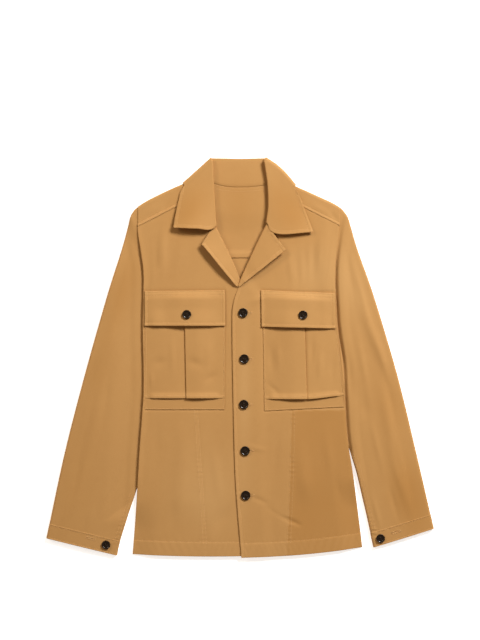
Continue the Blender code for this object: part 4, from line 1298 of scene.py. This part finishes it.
def pleat_section(side, row, step):
    """The pocket's section: its outer half runs under the pleat and turns back as its inner half."""
    row = Pocket(*row)
    towards = math.copysign(1.0, row.inner_x - row.outer_x)
    tuck = row.pleat_x + towards * PLEAT_DEPTH
    half = LAYER / 2.0
    angles = steps_inside(-math.pi / 2, math.pi / 2, TURN_POINTS)
    outer_x = row.outer_x + (tuck - row.outer_x) * shares(POCKET_OUTER_HALF, step, end=False)
    level = tuck + towards * PLEAT_STEP
    past_level = level + (row.inner_x - level) * shares(POCKET_INNER_HALF, step, start=False)[1:]
    inner_x = np.concatenate([np.linspace(row.pleat_x, level, PLEAT_POINTS), past_level])
    past_pleat = np.abs(inner_x - row.pleat_x) - PLEAT_DEPTH - PLEAT_STEP
    inner_z = 2 * LAYER * (1.0 - smooth(past_pleat / PLEAT_RUN))
    outer_share = np.clip((outer_x - row.outer_x) / (row.pleat_x - row.outer_x), 0.0, 1.0)
    puff_outer = POCKET_PUFF * np.sin(math.pi * outer_share)
    beside = np.maximum((row.pleat_x - outer_x) * towards, 0.0)
    rolled = smooth((beside - PLEAT_ROLL_CLEAR) / PLEAT_ROLL_RISE) * bell(beside, PLEAT_ROLL_WIDTH)
    puff_outer = puff_outer + PLEAT_ROLL[side] * rolled
    puff_inner = POCKET_PUFF * np.sin(math.pi * (inner_x - row.pleat_x) / (row.inner_x - row.pleat_x))
    bulge = towards * half * np.cos(angles)
    back = np.linspace(tuck, row.pleat_x, TUCK_POINTS)
    x = np.concatenate([outer_x, tuck + bulge, back, row.pleat_x - bulge, inner_x])
    z = np.concatenate([puff_outer, half + half * np.sin(angles), np.full(TUCK_POINTS, LAYER),
                        3 * half + half * np.sin(angles), inner_z + puff_inner])
    return x, z


def slit_open(side, x):
    """0 at the closed ends of a pocket's slit and 1 between them."""
    slit = POCKET[side][1]
    away = np.minimum(np.abs(x - slit.outer_x), np.abs(x - slit.inner_x))
    return smooth((away - SLIT_END) / SLIT_END_RUN)


def slit_rise(side, x):
    """How far a pocket's slit is drawn up towards its outer end."""
    slit = POCKET[side][1]
    return SLIT_RISE[side] * smooth((x - slit.pleat_x) / (slit.outer_x - slit.pleat_x))


def pocket_grid(side, step):
    top, slit = (np.array(row, float) for row in POCKET[side])
    sheet = []
    for share in shares(POCKET_LENGTH, step, start=False):
        row = top + (slit - top) * share
        row[3] -= POCKET_TOP_UNDER_FLAP * (1.0 - share)
        x, z = pleat_section(side, row, step)
        y = row[3] + slit_rise(side, x) * share
        over_band = LAYER * smooth((slit[3] + BAND_CLIMB_FROM - row[3]) / BAND_CLIMB)
        near_slit = smooth(1.0 - SLIT_LIFT_RATE * (1.0 - share))
        gape = SLIT_LIFT * near_slit * np.sin(math.pi * (x - row[0]) / (row[1] - row[0]))
        lift = LAYER + z + (over_band + gape) * slit_open(side, x)
        lift = lift + POCKET_CREASE_SHARE * ridges(POCKET_CREASES, x, y)
        sheet.append(raise_points(np.stack([x, y], axis=1), UNDER[side], CLOTH, lift))
    return sewn(np.array(sheet), start=NARROW_EDGE, end=NARROW_EDGE, bottom=SHIRT_EDGE)


def band_grid(side, step):
    slit = POCKET[side][1]
    columns, rows = shares(BAND_WIDTH, step), shares(BAND_LENGTH, step, start=False)
    top = straight(Flap(slit.outer_x, slit.y, slit.inner_x, slit.y), columns)
    is_open = slit_open(side, top[:, 0])
    top[:, 1] += slit_rise(side, top[:, 0]) + BAND_TUCK * is_open + SEAM_LAP * (1.0 - is_open)
    plan = between(top, straight(BAND_BOTTOM[side], columns), rows)
    grid = np.swapaxes(raise_points(plan, UNDER[side], CLOTH, LAYER), 0, 1)
    return sewn(grid, start=NARROW_EDGE, end=NARROW_EDGE, bottom=NARROW_EDGE)


def flap_under(side):
    """Underside of a flap: on the front along its top seam, then on the pocket."""
    top = POCKET[side][0]
    upper = FLAP_TOP[side]
    towards = math.copysign(1.0, top.inner_x - top.outer_x)
    ends = sorted([(upper.outer_x, upper.outer_y), (upper.inner_x, upper.inner_y)])

    def under(x, y):
        x, y = np.asarray(x, float), np.asarray(y, float)
        seam_y = np.interp(x, *zip(*ends))
        past = (x - top.pleat_x) * towards
        pleat = smooth((past + FLAP_PLEAT_LEAD) / FLAP_PLEAT_CLIMB)
        pleat = pleat * (1.0 - smooth((past - PLEAT_DEPTH - FLAP_PLEAT_FLAT) / PLEAT_RUN))
        across = (x - upper.outer_x) / (upper.inner_x - upper.outer_x)
        hug = smooth(FLAP_HUG * across) * smooth(FLAP_HUG * (1.0 - across))
        pocket_height = LAYER + (POCKET_PUFF + PLEAT_ROLL[side] / 2) * hug + 2 * LAYER * pleat + GAP
        fall = smooth((seam_y - y) / FLAP_RISE_RUN)
        wave = FLAP_WAVE * (1.0 + np.sin(2 * math.pi * past / FLAP_WAVE_LENGTH))
        loose = smooth((seam_y - y - FLAP_LIFT_FROM) / FLAP_LIFT_RUN)
        return UNDER[side](x, y) + LAYER + pocket_height * fall + (FLAP_LIFT[side] + wave) * loose * hug

    return under


def flap_grid(side, step):
    columns, rows = shares(FLAP_WIDTH, step), shares(FLAP_LENGTH, step)
    plan = between(straight(FLAP_TOP[side], columns), straight(FLAP_BOTTOM[side], columns), rows)
    grid = np.swapaxes(raise_points(plan, flap_under(side), FLAP_CLOTH), 0, 1)
    return sewn(grid, top=FLAP_SEAM, bottom=SHIRT_EDGE, start=SHIRT_EDGE, end=SHIRT_EDGE)


class Wire:
    """One output socket of a material, with arithmetic that adds Math nodes."""

    def __init__(self, board, socket):
        self.board = board
        self.socket = socket

    def math(self, operation, first, second):
        return self.board.node("ShaderNodeMath", {"operation": operation}, {0: first, 1: second})

    def __add__(self, other):
        return self.math("ADD", self, other)

    def __sub__(self, other):
        return self.math("SUBTRACT", self, other)

    def __rsub__(self, other):
        return self.math("SUBTRACT", other, self)

    def __mul__(self, other):
        return self.math("MULTIPLY", self, other)

    __radd__ = __add__
    __rmul__ = __mul__


class Board:
    """A material's nodes."""

    def __init__(self, name):
        self.material = bpy.data.materials.new(name)
        self.material.use_nodes = True
        self.tree = self.material.node_tree
        self.shader = self.tree.nodes["Principled BSDF"]

    def node(self, kind, settings=None, inputs=None, output=0):
        """Adds a node: its settings first, then the values or wires of its sockets."""
        node = self.tree.nodes.new(kind)
        for key, value in (settings or {}).items():
            setattr(node, key, value)
        self.feed(node, inputs or {})
        return Wire(self, node.outputs[output])

    def feed(self, node, inputs):
        for key, value in inputs.items():
            if isinstance(value, Wire):
                self.tree.links.new(value.socket, node.inputs[key])
            else:
                node.inputs[key].default_value = value

    def clamp(self, value):
        return self.node("ShaderNodeClamp", None, {"Value": value})

    def noise(self, place, scale, detail, **more):
        return self.node("ShaderNodeTexNoise", None, {"Vector": place, "Scale": scale, "Detail": detail, **more})

    def blend(self, factor, first, second):
        """One colour turned into another by a factor."""
        return self.node("ShaderNodeMix", {"data_type": "RGBA"}, {0: factor, 6: first, 7: second}, 2)


def cloth_finish():
    """Matt cotton twill: fine diagonal weave, cloudy dye, edges a little paler where they are pressed, a darker
    side panel, and patches of painted shade and painted light.
    """
    if "cotton twill" in bpy.data.materials:
        return bpy.data.materials["cotton twill"]
    settings = bpy.context.scene.overshirt_cloth
    board = Board("cotton twill")
    place = board.node("ShaderNodeTexCoord", output="Object")
    cut = board.node("ShaderNodeUVMap", {"uv_map": "Cut"})
    pressed = board.node("ShaderNodeAttribute", {"attribute_name": "pressed"}, output="Fac")
    panel_tone_and_painted_light = board.node("ShaderNodeAttribute", {"attribute_name": "panel_tone_and_painted_light"}, output="Fac")
    broad = board.noise(place, BROAD_SCALE, 3.0)
    cloud = board.noise(place, CLOUD_SCALE, 4.0, Roughness=0.6)
    slub = board.noise(place, SLUB_SCALE, 2.0)
    twill = board.node("ShaderNodeTexWave", {"bands_direction": "DIAGONAL"}, {"Vector": cut, "Scale": TWILL_SCALE})
    plain, shade, deep_panel_and_painted_shade, painted_light, worn = (
        tuple(colour) for colour in (settings.colour, settings.shade, settings.deep_panel_and_painted_shade, settings.painted_light, settings.worn))
    patterns = broad * BROAD_SHARE + cloud * CLOUD_SHARE + slub * SLUB_SHARE + twill * TWILL_SHARE
    colour = board.blend(board.clamp(patterns - TONE_SHIFT), board.blend(SHADE_SHARE, plain, shade), plain)
    # Patches of painted shade deepen the colour and patches of painted light pale it; the side panel is deeper too
    panel_tone_and_painted_light = panel_tone_and_painted_light * (broad * TONE_AND_PAINTED_LIGHT_UNEVEN + TONE_AND_PAINTED_LIGHT_EVEN)
    colour = board.blend(board.clamp(panel_tone_and_painted_light), colour, deep_panel_and_painted_shade)
    colour = board.blend(board.clamp(0.0 - panel_tone_and_painted_light), colour, painted_light)
    colour = board.blend(board.clamp(pressed * PRESSED_SHARE), colour, worn)
    relief = twill * WEAVE_SHARE + slub * WEAVE_SHARE
    bump = board.node("ShaderNodeBump", None, {"Height": relief, "Strength": 0.25, "Distance": 0.00025})
    board.feed(board.shader, {
        "Base Color": colour, "Roughness": CLOTH_ROUGHNESS, "Normal": bump, "Specular IOR Level": 0.15})
    return board.material


def thread_finish():
    """Tonal sewing thread."""
    if "sewing thread" in bpy.data.materials:
        return bpy.data.materials["sewing thread"]
    return plain_finish("sewing thread", bpy.context.scene.overshirt_sewing.colour, CLOTH_ROUGHNESS)


def button_finish():
    """Polished dark button, a little cloudy."""
    settings = bpy.context.scene.overshirt_buttons
    board = Board("polished button")
    place = board.node("ShaderNodeTexCoord", output="Object")
    colour = board.blend(board.noise(place, STREAK_SCALE, 3.0), tuple(settings.colour), tuple(settings.streak))
    board.feed(board.shader, {"Base Color": colour, "Roughness": BUTTON_ROUGHNESS, "Specular IOR Level": 0.3})
    return board.material


def plain_finish(name, colour, roughness):
    board = Board(name)
    board.feed(board.shader, {"Base Color": tuple(colour), "Roughness": roughness})
    return board.material


class ClothSettings(bpy.types.PropertyGroup):
    step: bpy.props.FloatProperty(
        name="Grid step", description="Spacing of the fine cloth's points", default=0.0028, unit="LENGTH")
    hidden_step: bpy.props.FloatProperty(
        name="Hidden grid step", description="Spacing of the points of the back", default=0.006, unit="LENGTH")
    colour: bpy.props.FloatVectorProperty(
        name="Colour", description="Camel colour of the cloth", default=(0.546, 0.295, 0.102, 1.0), size=4,
        subtype="COLOR")
    shade: bpy.props.FloatVectorProperty(
        name="Shade", description="Darker tone of its cloudy dye", default=(0.445, 0.221, 0.070, 1.0), size=4,
        subtype="COLOR")
    # Colour of the darker side panel and of the patches of painted shade
    deep_panel_and_painted_shade: bpy.props.FloatVectorProperty(
        name="Deep dye", description="Colour of its deeper patches", default=(0.462, 0.226, 0.064, 1.0), size=4,
        subtype="COLOR")
    # Colour of the patches of painted light
    painted_light: bpy.props.FloatVectorProperty(
        name="Pale dye", description="Colour of its paler patches", default=(0.618, 0.357, 0.140, 1.0), size=4,
        subtype="COLOR")
    worn: bpy.props.FloatVectorProperty(
        name="Pressed edges", description="Paler tone of its pressed edges", default=(0.608, 0.338, 0.125, 1.0),
        size=4, subtype="COLOR")


class SewingSettings(bpy.types.PropertyGroup):
    pitch: bpy.props.FloatProperty(
        name="Pitch", description="From one stitch to the next", default=0.0031, unit="LENGTH")
    stitch: bpy.props.FloatProperty(
        name="Stitch", description="Length of a stitch", default=0.0024, unit="LENGTH")
    thread: bpy.props.FloatProperty(
        name="Thread", description="Thickness of the thread", default=0.00055, unit="LENGTH")
    colour: bpy.props.FloatVectorProperty(
        name="Colour", description="Colour of the thread", default=(0.70, 0.41, 0.16, 1.0), size=4,
        subtype="COLOR")


class ButtonSettings(bpy.types.PropertyGroup):
    rim: bpy.props.FloatProperty(
        name="Rim", description="Width of the raised rim", default=0.0016, unit="LENGTH")
    dish: bpy.props.FloatProperty(
        name="Dish", description="Depth of the dished middle", default=0.0009, unit="LENGTH")
    hole: bpy.props.FloatProperty(
        name="Hole", description="Radius of each of the four holes", default=0.00095, unit="LENGTH")
    spread: bpy.props.FloatProperty(
        name="Spread", description="From the middle to a hole, along X and Y", default=0.0018, unit="LENGTH")
    colour: bpy.props.FloatVectorProperty(
        name="Colour", description="Colour of the buttons", default=(0.0085, 0.005, 0.0032, 1.0), size=4,
        subtype="COLOR")
    streak: bpy.props.FloatVectorProperty(
        name="Streak", description="Paler cloud in the buttons", default=(0.026, 0.015, 0.008, 1.0), size=4,
        subtype="COLOR")


class StageSettings(bpy.types.PropertyGroup):
    distance: bpy.props.FloatProperty(
        name="Distance", description="Height of the camera over the garment", default=3.0, unit="LENGTH")
    view_height: bpy.props.FloatProperty(
        name="View height", description="Length of floor from the picture's top to its bottom", default=1.1904,
        unit="LENGTH")
    view_middle: bpy.props.FloatProperty(
        name="View middle", description="Where the picture's middle lies along Y", default=0.0707, unit="LENGTH")
    key: bpy.props.FloatProperty(
        name="Key light", description="Power of the soft light from the upper right", default=130.5, unit="POWER")
    side: bpy.props.FloatProperty(
        name="Side light", description="Power of the weaker light from the upper left", default=68.0, unit="POWER")
    fill: bpy.props.FloatProperty(
        name="Fill light", description="Brightness of the even light all round", default=0.20)
    glow: bpy.props.FloatProperty(
        name="Floor glow", description="Faint light of the floor, which keeps it white", default=0.74)
    floor: bpy.props.FloatVectorProperty(
        name="Floor", description="Colour of the floor", default=(0.93, 0.93, 0.93, 1.0), size=4, subtype="COLOR")


class OVERSHIRT_OT_back_and_yoke(bpy.types.Operator):
    """Lays the back panel and the yoke"""
    bl_idname = "overshirt.back_and_yoke"
    bl_label = "Back and yoke"

    def execute(self, context):
        settings = context.scene.overshirt_cloth
        lay("back", [back_grid(settings.hidden_step / MM)], CLOTH, [])
        grids = yoke_grids(settings.step / MM)
        neck = back_collar_rows()[NECK_SKIP:-NECK_SKIP, :2]
        lines = [along_edge(grids[0], "top", YOKE_STITCH, YOKE_TRIM)]
        lines += [neck - [0.0, inset] for inset in NECK_STITCHES]
        for shoulder in grids[1:]:
            lines += [along_edge(shoulder, "bottom", inset, STITCH_TRIM) for inset in (EDGE_STITCH, SHIRT_EDGE)]
        lay("yoke", grids, CLOTH, lines)
        return {"FINISHED"}


class OVERSHIRT_OT_fronts(bpy.types.Operator):
    """Lays the two fronts with their hems, panel seams and buttonholes"""
    bl_idname = "overshirt.fronts"
    bl_label = "Fronts"

    def execute(self, context):
        step = context.scene.overshirt_cloth.step / MM
        for side in SIDES:
            grid = front_grid(side, step)
            lines = [along_edge(grid, "bottom", HEM, STITCH_TRIM), polyline(PANEL_SEAM[side])]
            lines.append(lines[1] + [SIDES[side] * FELL_STITCH, 0.0])
            pairs = []
            if side == "right":
                edge = along_edge(grid, "start", SHIRT_EDGE)
                lines.append(edge[edge[:, 1] < FRONT_EDGE["right"][0].y])
                for place in FRONT_BUTTONS:
                    pairs += hole_pairs(Point(place.x + HOLE_SHIFT, place.y), FRONT_HOLE, 0.0)
            lay(f"front_{side}", [grid], CLOTH, lines, pairs)
        return {"FINISHED"}


class OVERSHIRT_OT_collar_and_lapels(bpy.types.Operator):
    """Turns the collar and the two lapels"""
    bl_idname = "overshirt.collar_and_lapels"
    bl_label = "Collar and lapels"

    def execute(self, context):
        step = context.scene.overshirt_cloth.step / MM
        grid = collar_grid(step)
        fall = grid[:, STAND_POINTS + TURN_POINTS:]
        lines = [along_edge(fall, edge, COLLAR_EDGE, COLLAR_EDGE) for edge in ("top", "bottom")]
        for rows in (slice(0, WING_RIBS), slice(-WING_RIBS, None)):
            lines.append(along_edge(fall[rows], "end", COLLAR_EDGE, COLLAR_EDGE))
        lay("collar", [grid], COLLAR_CLOTH, lines)
        for side in SIDES:
            grid = lapel_grid(side, step)
            fall = grid[:, TURN_POINTS + 1:]
            lines = [along_edge(fall, edge, SHIRT_EDGE, SHIRT_EDGE) for edge in LAPEL_SEWN[side]]
            lay(f"lapel_{side}", [grid], CLOTH, lines)
        return {"FINISHED"}


class OVERSHIRT_OT_sleeves(bpy.types.Operator):
    """Lays the two sleeves and their cuffs"""
    bl_idname = "overshirt.sleeves"
    bl_label = "Sleeves and cuffs"

    def execute(self, context):
        step = context.scene.overshirt_cloth.step / MM
        for side in SIDES:
            tube, cuff = sleeve_rings(side, step)
            columns = sleeve_columns(step)
            inner = curve(SLEEVE_INNER[side], FINE_STEPS)
            outer_run = np.subtract(SLEEVE_OUTER[side][-1], SLEEVE_OUTER[side][GRAIN_FROM])
            grain = unit_rows(unit_rows(np.array([outer_run, inner[-1] - inner[0]])).sum(axis=0)[None])[0]
            outward = SIDES[side] * normals_of(inner)
            seen = np.arange(SLEEVE_SEAM_FROM[side], length(inner) - CUFF_LENGTH, LINE_STEP)
            lines = [walk(inner + outward * inset, seen) for inset in SLEEVE_STITCHES]
            nodes = [f"sleeve_{side}", f"sleeve_under_{side}"]
            lay(f"sleeve_{side}", [tube], CLOTH, lines, grain=grain, nodes=nodes)
            top = cuff[:, columns + TURN_POINTS:2 * columns + TURN_POINTS]
            lines = [along_edge(top, edge, NARROW_EDGE, CUFF_TRIM) for edge in ("top", "bottom")]
            pairs = hole_pairs(CUFF_HOLE[side], CUFF_HOLE_SIZE, CUFF_HOLE_TURN[side])
            lay(f"cuff_{side}", [cuff], CUFF_CLOTH, lines, pairs, grain)
        return {"FINISHED"}


class OVERSHIRT_OT_pockets(bpy.types.Operator):
    """Lays the pleated chest pockets, their bottom bands and their flaps"""
    bl_idname = "overshirt.pockets"
    bl_label = "Pockets and flaps"

    def execute(self, context):
        step = context.scene.overshirt_cloth.step / MM
        for side in SIDES:
            grid = pocket_grid(side, step)
            lines = [along_edge(grid, edge, NARROW_EDGE, POCKET_TRIM) for edge in ("start", "end")]
            lines.append(along_edge(grid, "bottom", SHIRT_EDGE, NARROW_EDGE))
            lay(f"pocket_{side}", [grid], CLOTH, lines)
            grid = band_grid(side, step)
            lines = [along_edge(grid, edge, NARROW_EDGE, NARROW_EDGE) for edge in ("start", "end", "bottom")]
            lay(f"pocket_band_{side}", [grid], CLOTH, lines)
            grid = flap_grid(side, step)
            lines = [along_edge(grid, edge, SHIRT_EDGE, SHIRT_EDGE) for edge in ("bottom", "start", "end")]
            lines += [along_edge(grid, "top", inset, NARROW_EDGE) for inset in (EDGE_STITCH, FLAP_SEAM)]
            lay(f"flap_{side}", [grid], FLAP_CLOTH, lines)
        return {"FINISHED"}


def select_faces(obj, wanted):
    """In edit mode, selects the faces that pass a test."""
    bpy.ops.mesh.select_all(action="DESELECT")
    bm = bmesh.from_edit_mesh(obj.data)
    for face in bm.faces:
        face.select_set(wanted(face))
    bmesh.update_edit_mesh(obj.data)


class OVERSHIRT_OT_buttons(bpy.types.Operator):
    """Turns one four-hole button and sets copies of it where the solids have theirs"""
    bl_idname = "overshirt.buttons"
    bl_label = "Buttons"

    def execute(self, context):
        settings = context.scene.overshirt_buttons
        low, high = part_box("button_front_1")
        radius, thickness = (high.x - low.x) / 2, high.z - low.z
        bpy.ops.object.select_all(action="DESELECT")
        bpy.ops.mesh.primitive_cylinder_add(
            vertices=BUTTON_SIDES, radius=radius, depth=thickness, location=(0.0, 0.0, thickness / 2))
        master = context.active_object
        bpy.ops.object.transform_apply(location=True)
        bpy.ops.object.mode_set(mode="EDIT")
        bpy.ops.mesh.select_mode(type="FACE")
        select_faces(master, lambda face: face.normal.z > FACE_LIMIT)
        bpy.ops.mesh.inset(thickness=settings.rim, depth=0.0)
        bpy.ops.mesh.inset(thickness=settings.rim * DISH_SLOPE, depth=-settings.dish)
        select_faces(master, lambda face: face.normal.z < -FACE_LIMIT)
        bpy.ops.mesh.inset(thickness=settings.rim, depth=0.0)
        bpy.ops.object.mode_set(mode="OBJECT")
        bevel = master.modifiers.new("Round edges", "BEVEL")
        bevel.width = ROUNDING
        bevel.segments = ROUNDING_STEPS
        bevel.limit_method = "ANGLE"
        bevel.angle_limit = math.radians(ROUNDING_ANGLE)
        bpy.ops.object.modifier_apply(modifier=bevel.name)
        for sign_x in (-1.0, 1.0):
            for sign_y in (-1.0, 1.0):
                bpy.ops.object.select_all(action="DESELECT")
                bpy.ops.mesh.primitive_cylinder_add(
                    vertices=DRILL_SIDES, radius=settings.hole, depth=3 * thickness,
                    location=(sign_x * settings.spread, sign_y * settings.spread, thickness / 2))
                drill = context.active_object
                context.view_layer.objects.active = master
                cut = master.modifiers.new("Hole", "BOOLEAN")
                cut.operation = "DIFFERENCE"
                cut.object = drill
                bpy.ops.object.modifier_apply(modifier=cut.name)
                bpy.data.objects.remove(drill, do_unlink=True)
        bpy.ops.object.select_all(action="DESELECT")
        master.select_set(True)
        bpy.ops.object.shade_smooth_by_angle(angle=math.radians(SMOOTH_ANGLE))
        finish = button_finish()
        threads = []
        for name, turn in BUTTON_TURNS.items():
            low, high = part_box(name)
            drop = RECESS * MM if "flap" in name else 0.0
            place = Matrix.Translation(Vector(((low.x + high.x) / 2, (low.y + high.y) / 2, low.z - drop)))
            size = (high.x - low.x) / 2 / radius
            matrix = place @ Matrix.Rotation(math.radians(turn), 4, "Z") @ Matrix.Scale(size, 4)
            piece = master.copy()
            piece.data = master.data.copy()
            piece.name = piece.data.name = name.replace("button_", "") + "_button"
            piece.data.materials.clear()
            piece.data.materials.append(finish)
            piece.data.transform(matrix)
            context.scene.collection.objects.link(piece)
            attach(piece, "root")
            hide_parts(name)
            top = thickness - settings.dish
            for sign in (-1.0, 1.0):
                for shift in (-THREAD_SHIFT, THREAD_SHIFT):
                    y = sign * settings.spread + shift * settings.hole
                    threads.append([matrix @ Vector((x, y, top)) for x in (-settings.spread, settings.spread)])
        bpy.data.objects.remove(master, do_unlink=True)
        threads = np.array([[tuple(end / MM) for end in pair] for pair in threads])
        vertices, faces = spindles(threads[:, 0], threads[:, 1], BUTTON_THREAD)
        thread = plain_finish("button thread", settings.streak, BUTTON_THREAD_ROUGHNESS)
        obj = mesh_object("button_threads", vertices, faces, thread)
        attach(obj, "root")
        return {"FINISHED"}


class OVERSHIRT_OT_stage(bpy.types.Operator):
    """Sets a pale floor, soft light and a camera straight above"""
    bl_idname = "overshirt.stage"
    bl_label = "Stage"

    def execute(self, context):
        settings = context.scene.overshirt_stage
        bpy.ops.object.select_all(action="DESELECT")
        bpy.ops.mesh.primitive_plane_add(size=FLOOR_SIZE, location=(0.0, 0.0, -FLOOR_DROP))
        floor = context.active_object
        floor.name = "floor"
        finish = plain_finish("pale floor", settings.floor, FLOOR_ROUGHNESS)
        glow = {"Emission Color": tuple(settings.floor), "Emission Strength": settings.glow}
        for key, value in glow.items():
            finish.node_tree.nodes["Principled BSDF"].inputs[key].default_value = value
        floor.data.materials.append(finish)
        lamps = (("key light", settings.key, KEY_LAMP), ("side light", settings.side, SIDE_LAMP))
        for name, power, lamp_at in lamps:
            data = bpy.data.lights.new(name, "AREA")
            data.energy = power
            data.color = lamp_at.colour
            data.shape = "RECTANGLE"
            data.size, data.size_y = lamp_at.width, lamp_at.depth
            lamp = bpy.data.objects.new(name, data)
            lamp.location = lamp_at.place
            lamp.rotation_euler = (-lamp.location).to_track_quat("-Z", "Y").to_euler()
            context.scene.collection.objects.link(lamp)
        world = bpy.data.worlds.new("even light")
        world.use_nodes = True
        shade = world.node_tree.nodes["Background"]
        shade.inputs["Color"].default_value = FILL_COLOUR
        shade.inputs["Strength"].default_value = settings.fill
        context.scene.world = world
        lens = bpy.data.cameras.new("camera")
        lens.lens = lens.sensor_width * settings.distance / settings.view_height
        camera = bpy.data.objects.new("camera", lens)
        camera.location = (0.0, settings.view_middle, settings.distance + GARMENT_LEVEL)
        context.scene.collection.objects.link(camera)
        context.scene.camera = camera
        context.scene.view_settings.view_transform = "Standard"
        return {"FINISHED"}


class OVERSHIRT_PT_pieces(bpy.types.Panel):
    """Lists the overshirt's settings and pieces"""
    bl_idname = "OVERSHIRT_PT_pieces"
    bl_label = "Overshirt"
    bl_space_type = "VIEW_3D"
    bl_region_type = "UI"
    bl_category = "Overshirt"

    def draw(self, context):
        for name, group in SETTINGS.items():
            box = self.layout.box()
            for key in group.__annotations__:
                box.prop(getattr(context.scene, name), key)
        for operator in OPERATORS:
            self.layout.operator(operator.bl_idname)


SETTINGS = {
    "overshirt_cloth": ClothSettings,
    "overshirt_sewing": SewingSettings,
    "overshirt_buttons": ButtonSettings,
    "overshirt_stage": StageSettings,
}
OPERATORS = [
    OVERSHIRT_OT_back_and_yoke,
    OVERSHIRT_OT_fronts,
    OVERSHIRT_OT_collar_and_lapels,
    OVERSHIRT_OT_sleeves,
    OVERSHIRT_OT_pockets,
    OVERSHIRT_OT_buttons,
    OVERSHIRT_OT_stage,
]


def register():
    for cls in [*SETTINGS.values(), *OPERATORS, OVERSHIRT_PT_pieces]:
        bpy.utils.register_class(cls)
    for name, group in SETTINGS.items():
        setattr(bpy.types.Scene, name, bpy.props.PointerProperty(type=group))


def unregister():
    for name in SETTINGS:
        delattr(bpy.types.Scene, name)
    for cls in [OVERSHIRT_PT_pieces, *OPERATORS, *SETTINGS.values()]:
        bpy.utils.unregister_class(cls)


def main():
    register()
    bpy.ops.overshirt.back_and_yoke()
    bpy.ops.overshirt.fronts()
    bpy.ops.overshirt.collar_and_lapels()
    bpy.ops.overshirt.sleeves()
    bpy.ops.overshirt.pockets()
    bpy.ops.overshirt.buttons()
    bpy.ops.overshirt.stage()


if __name__ == "__main__":
    main()
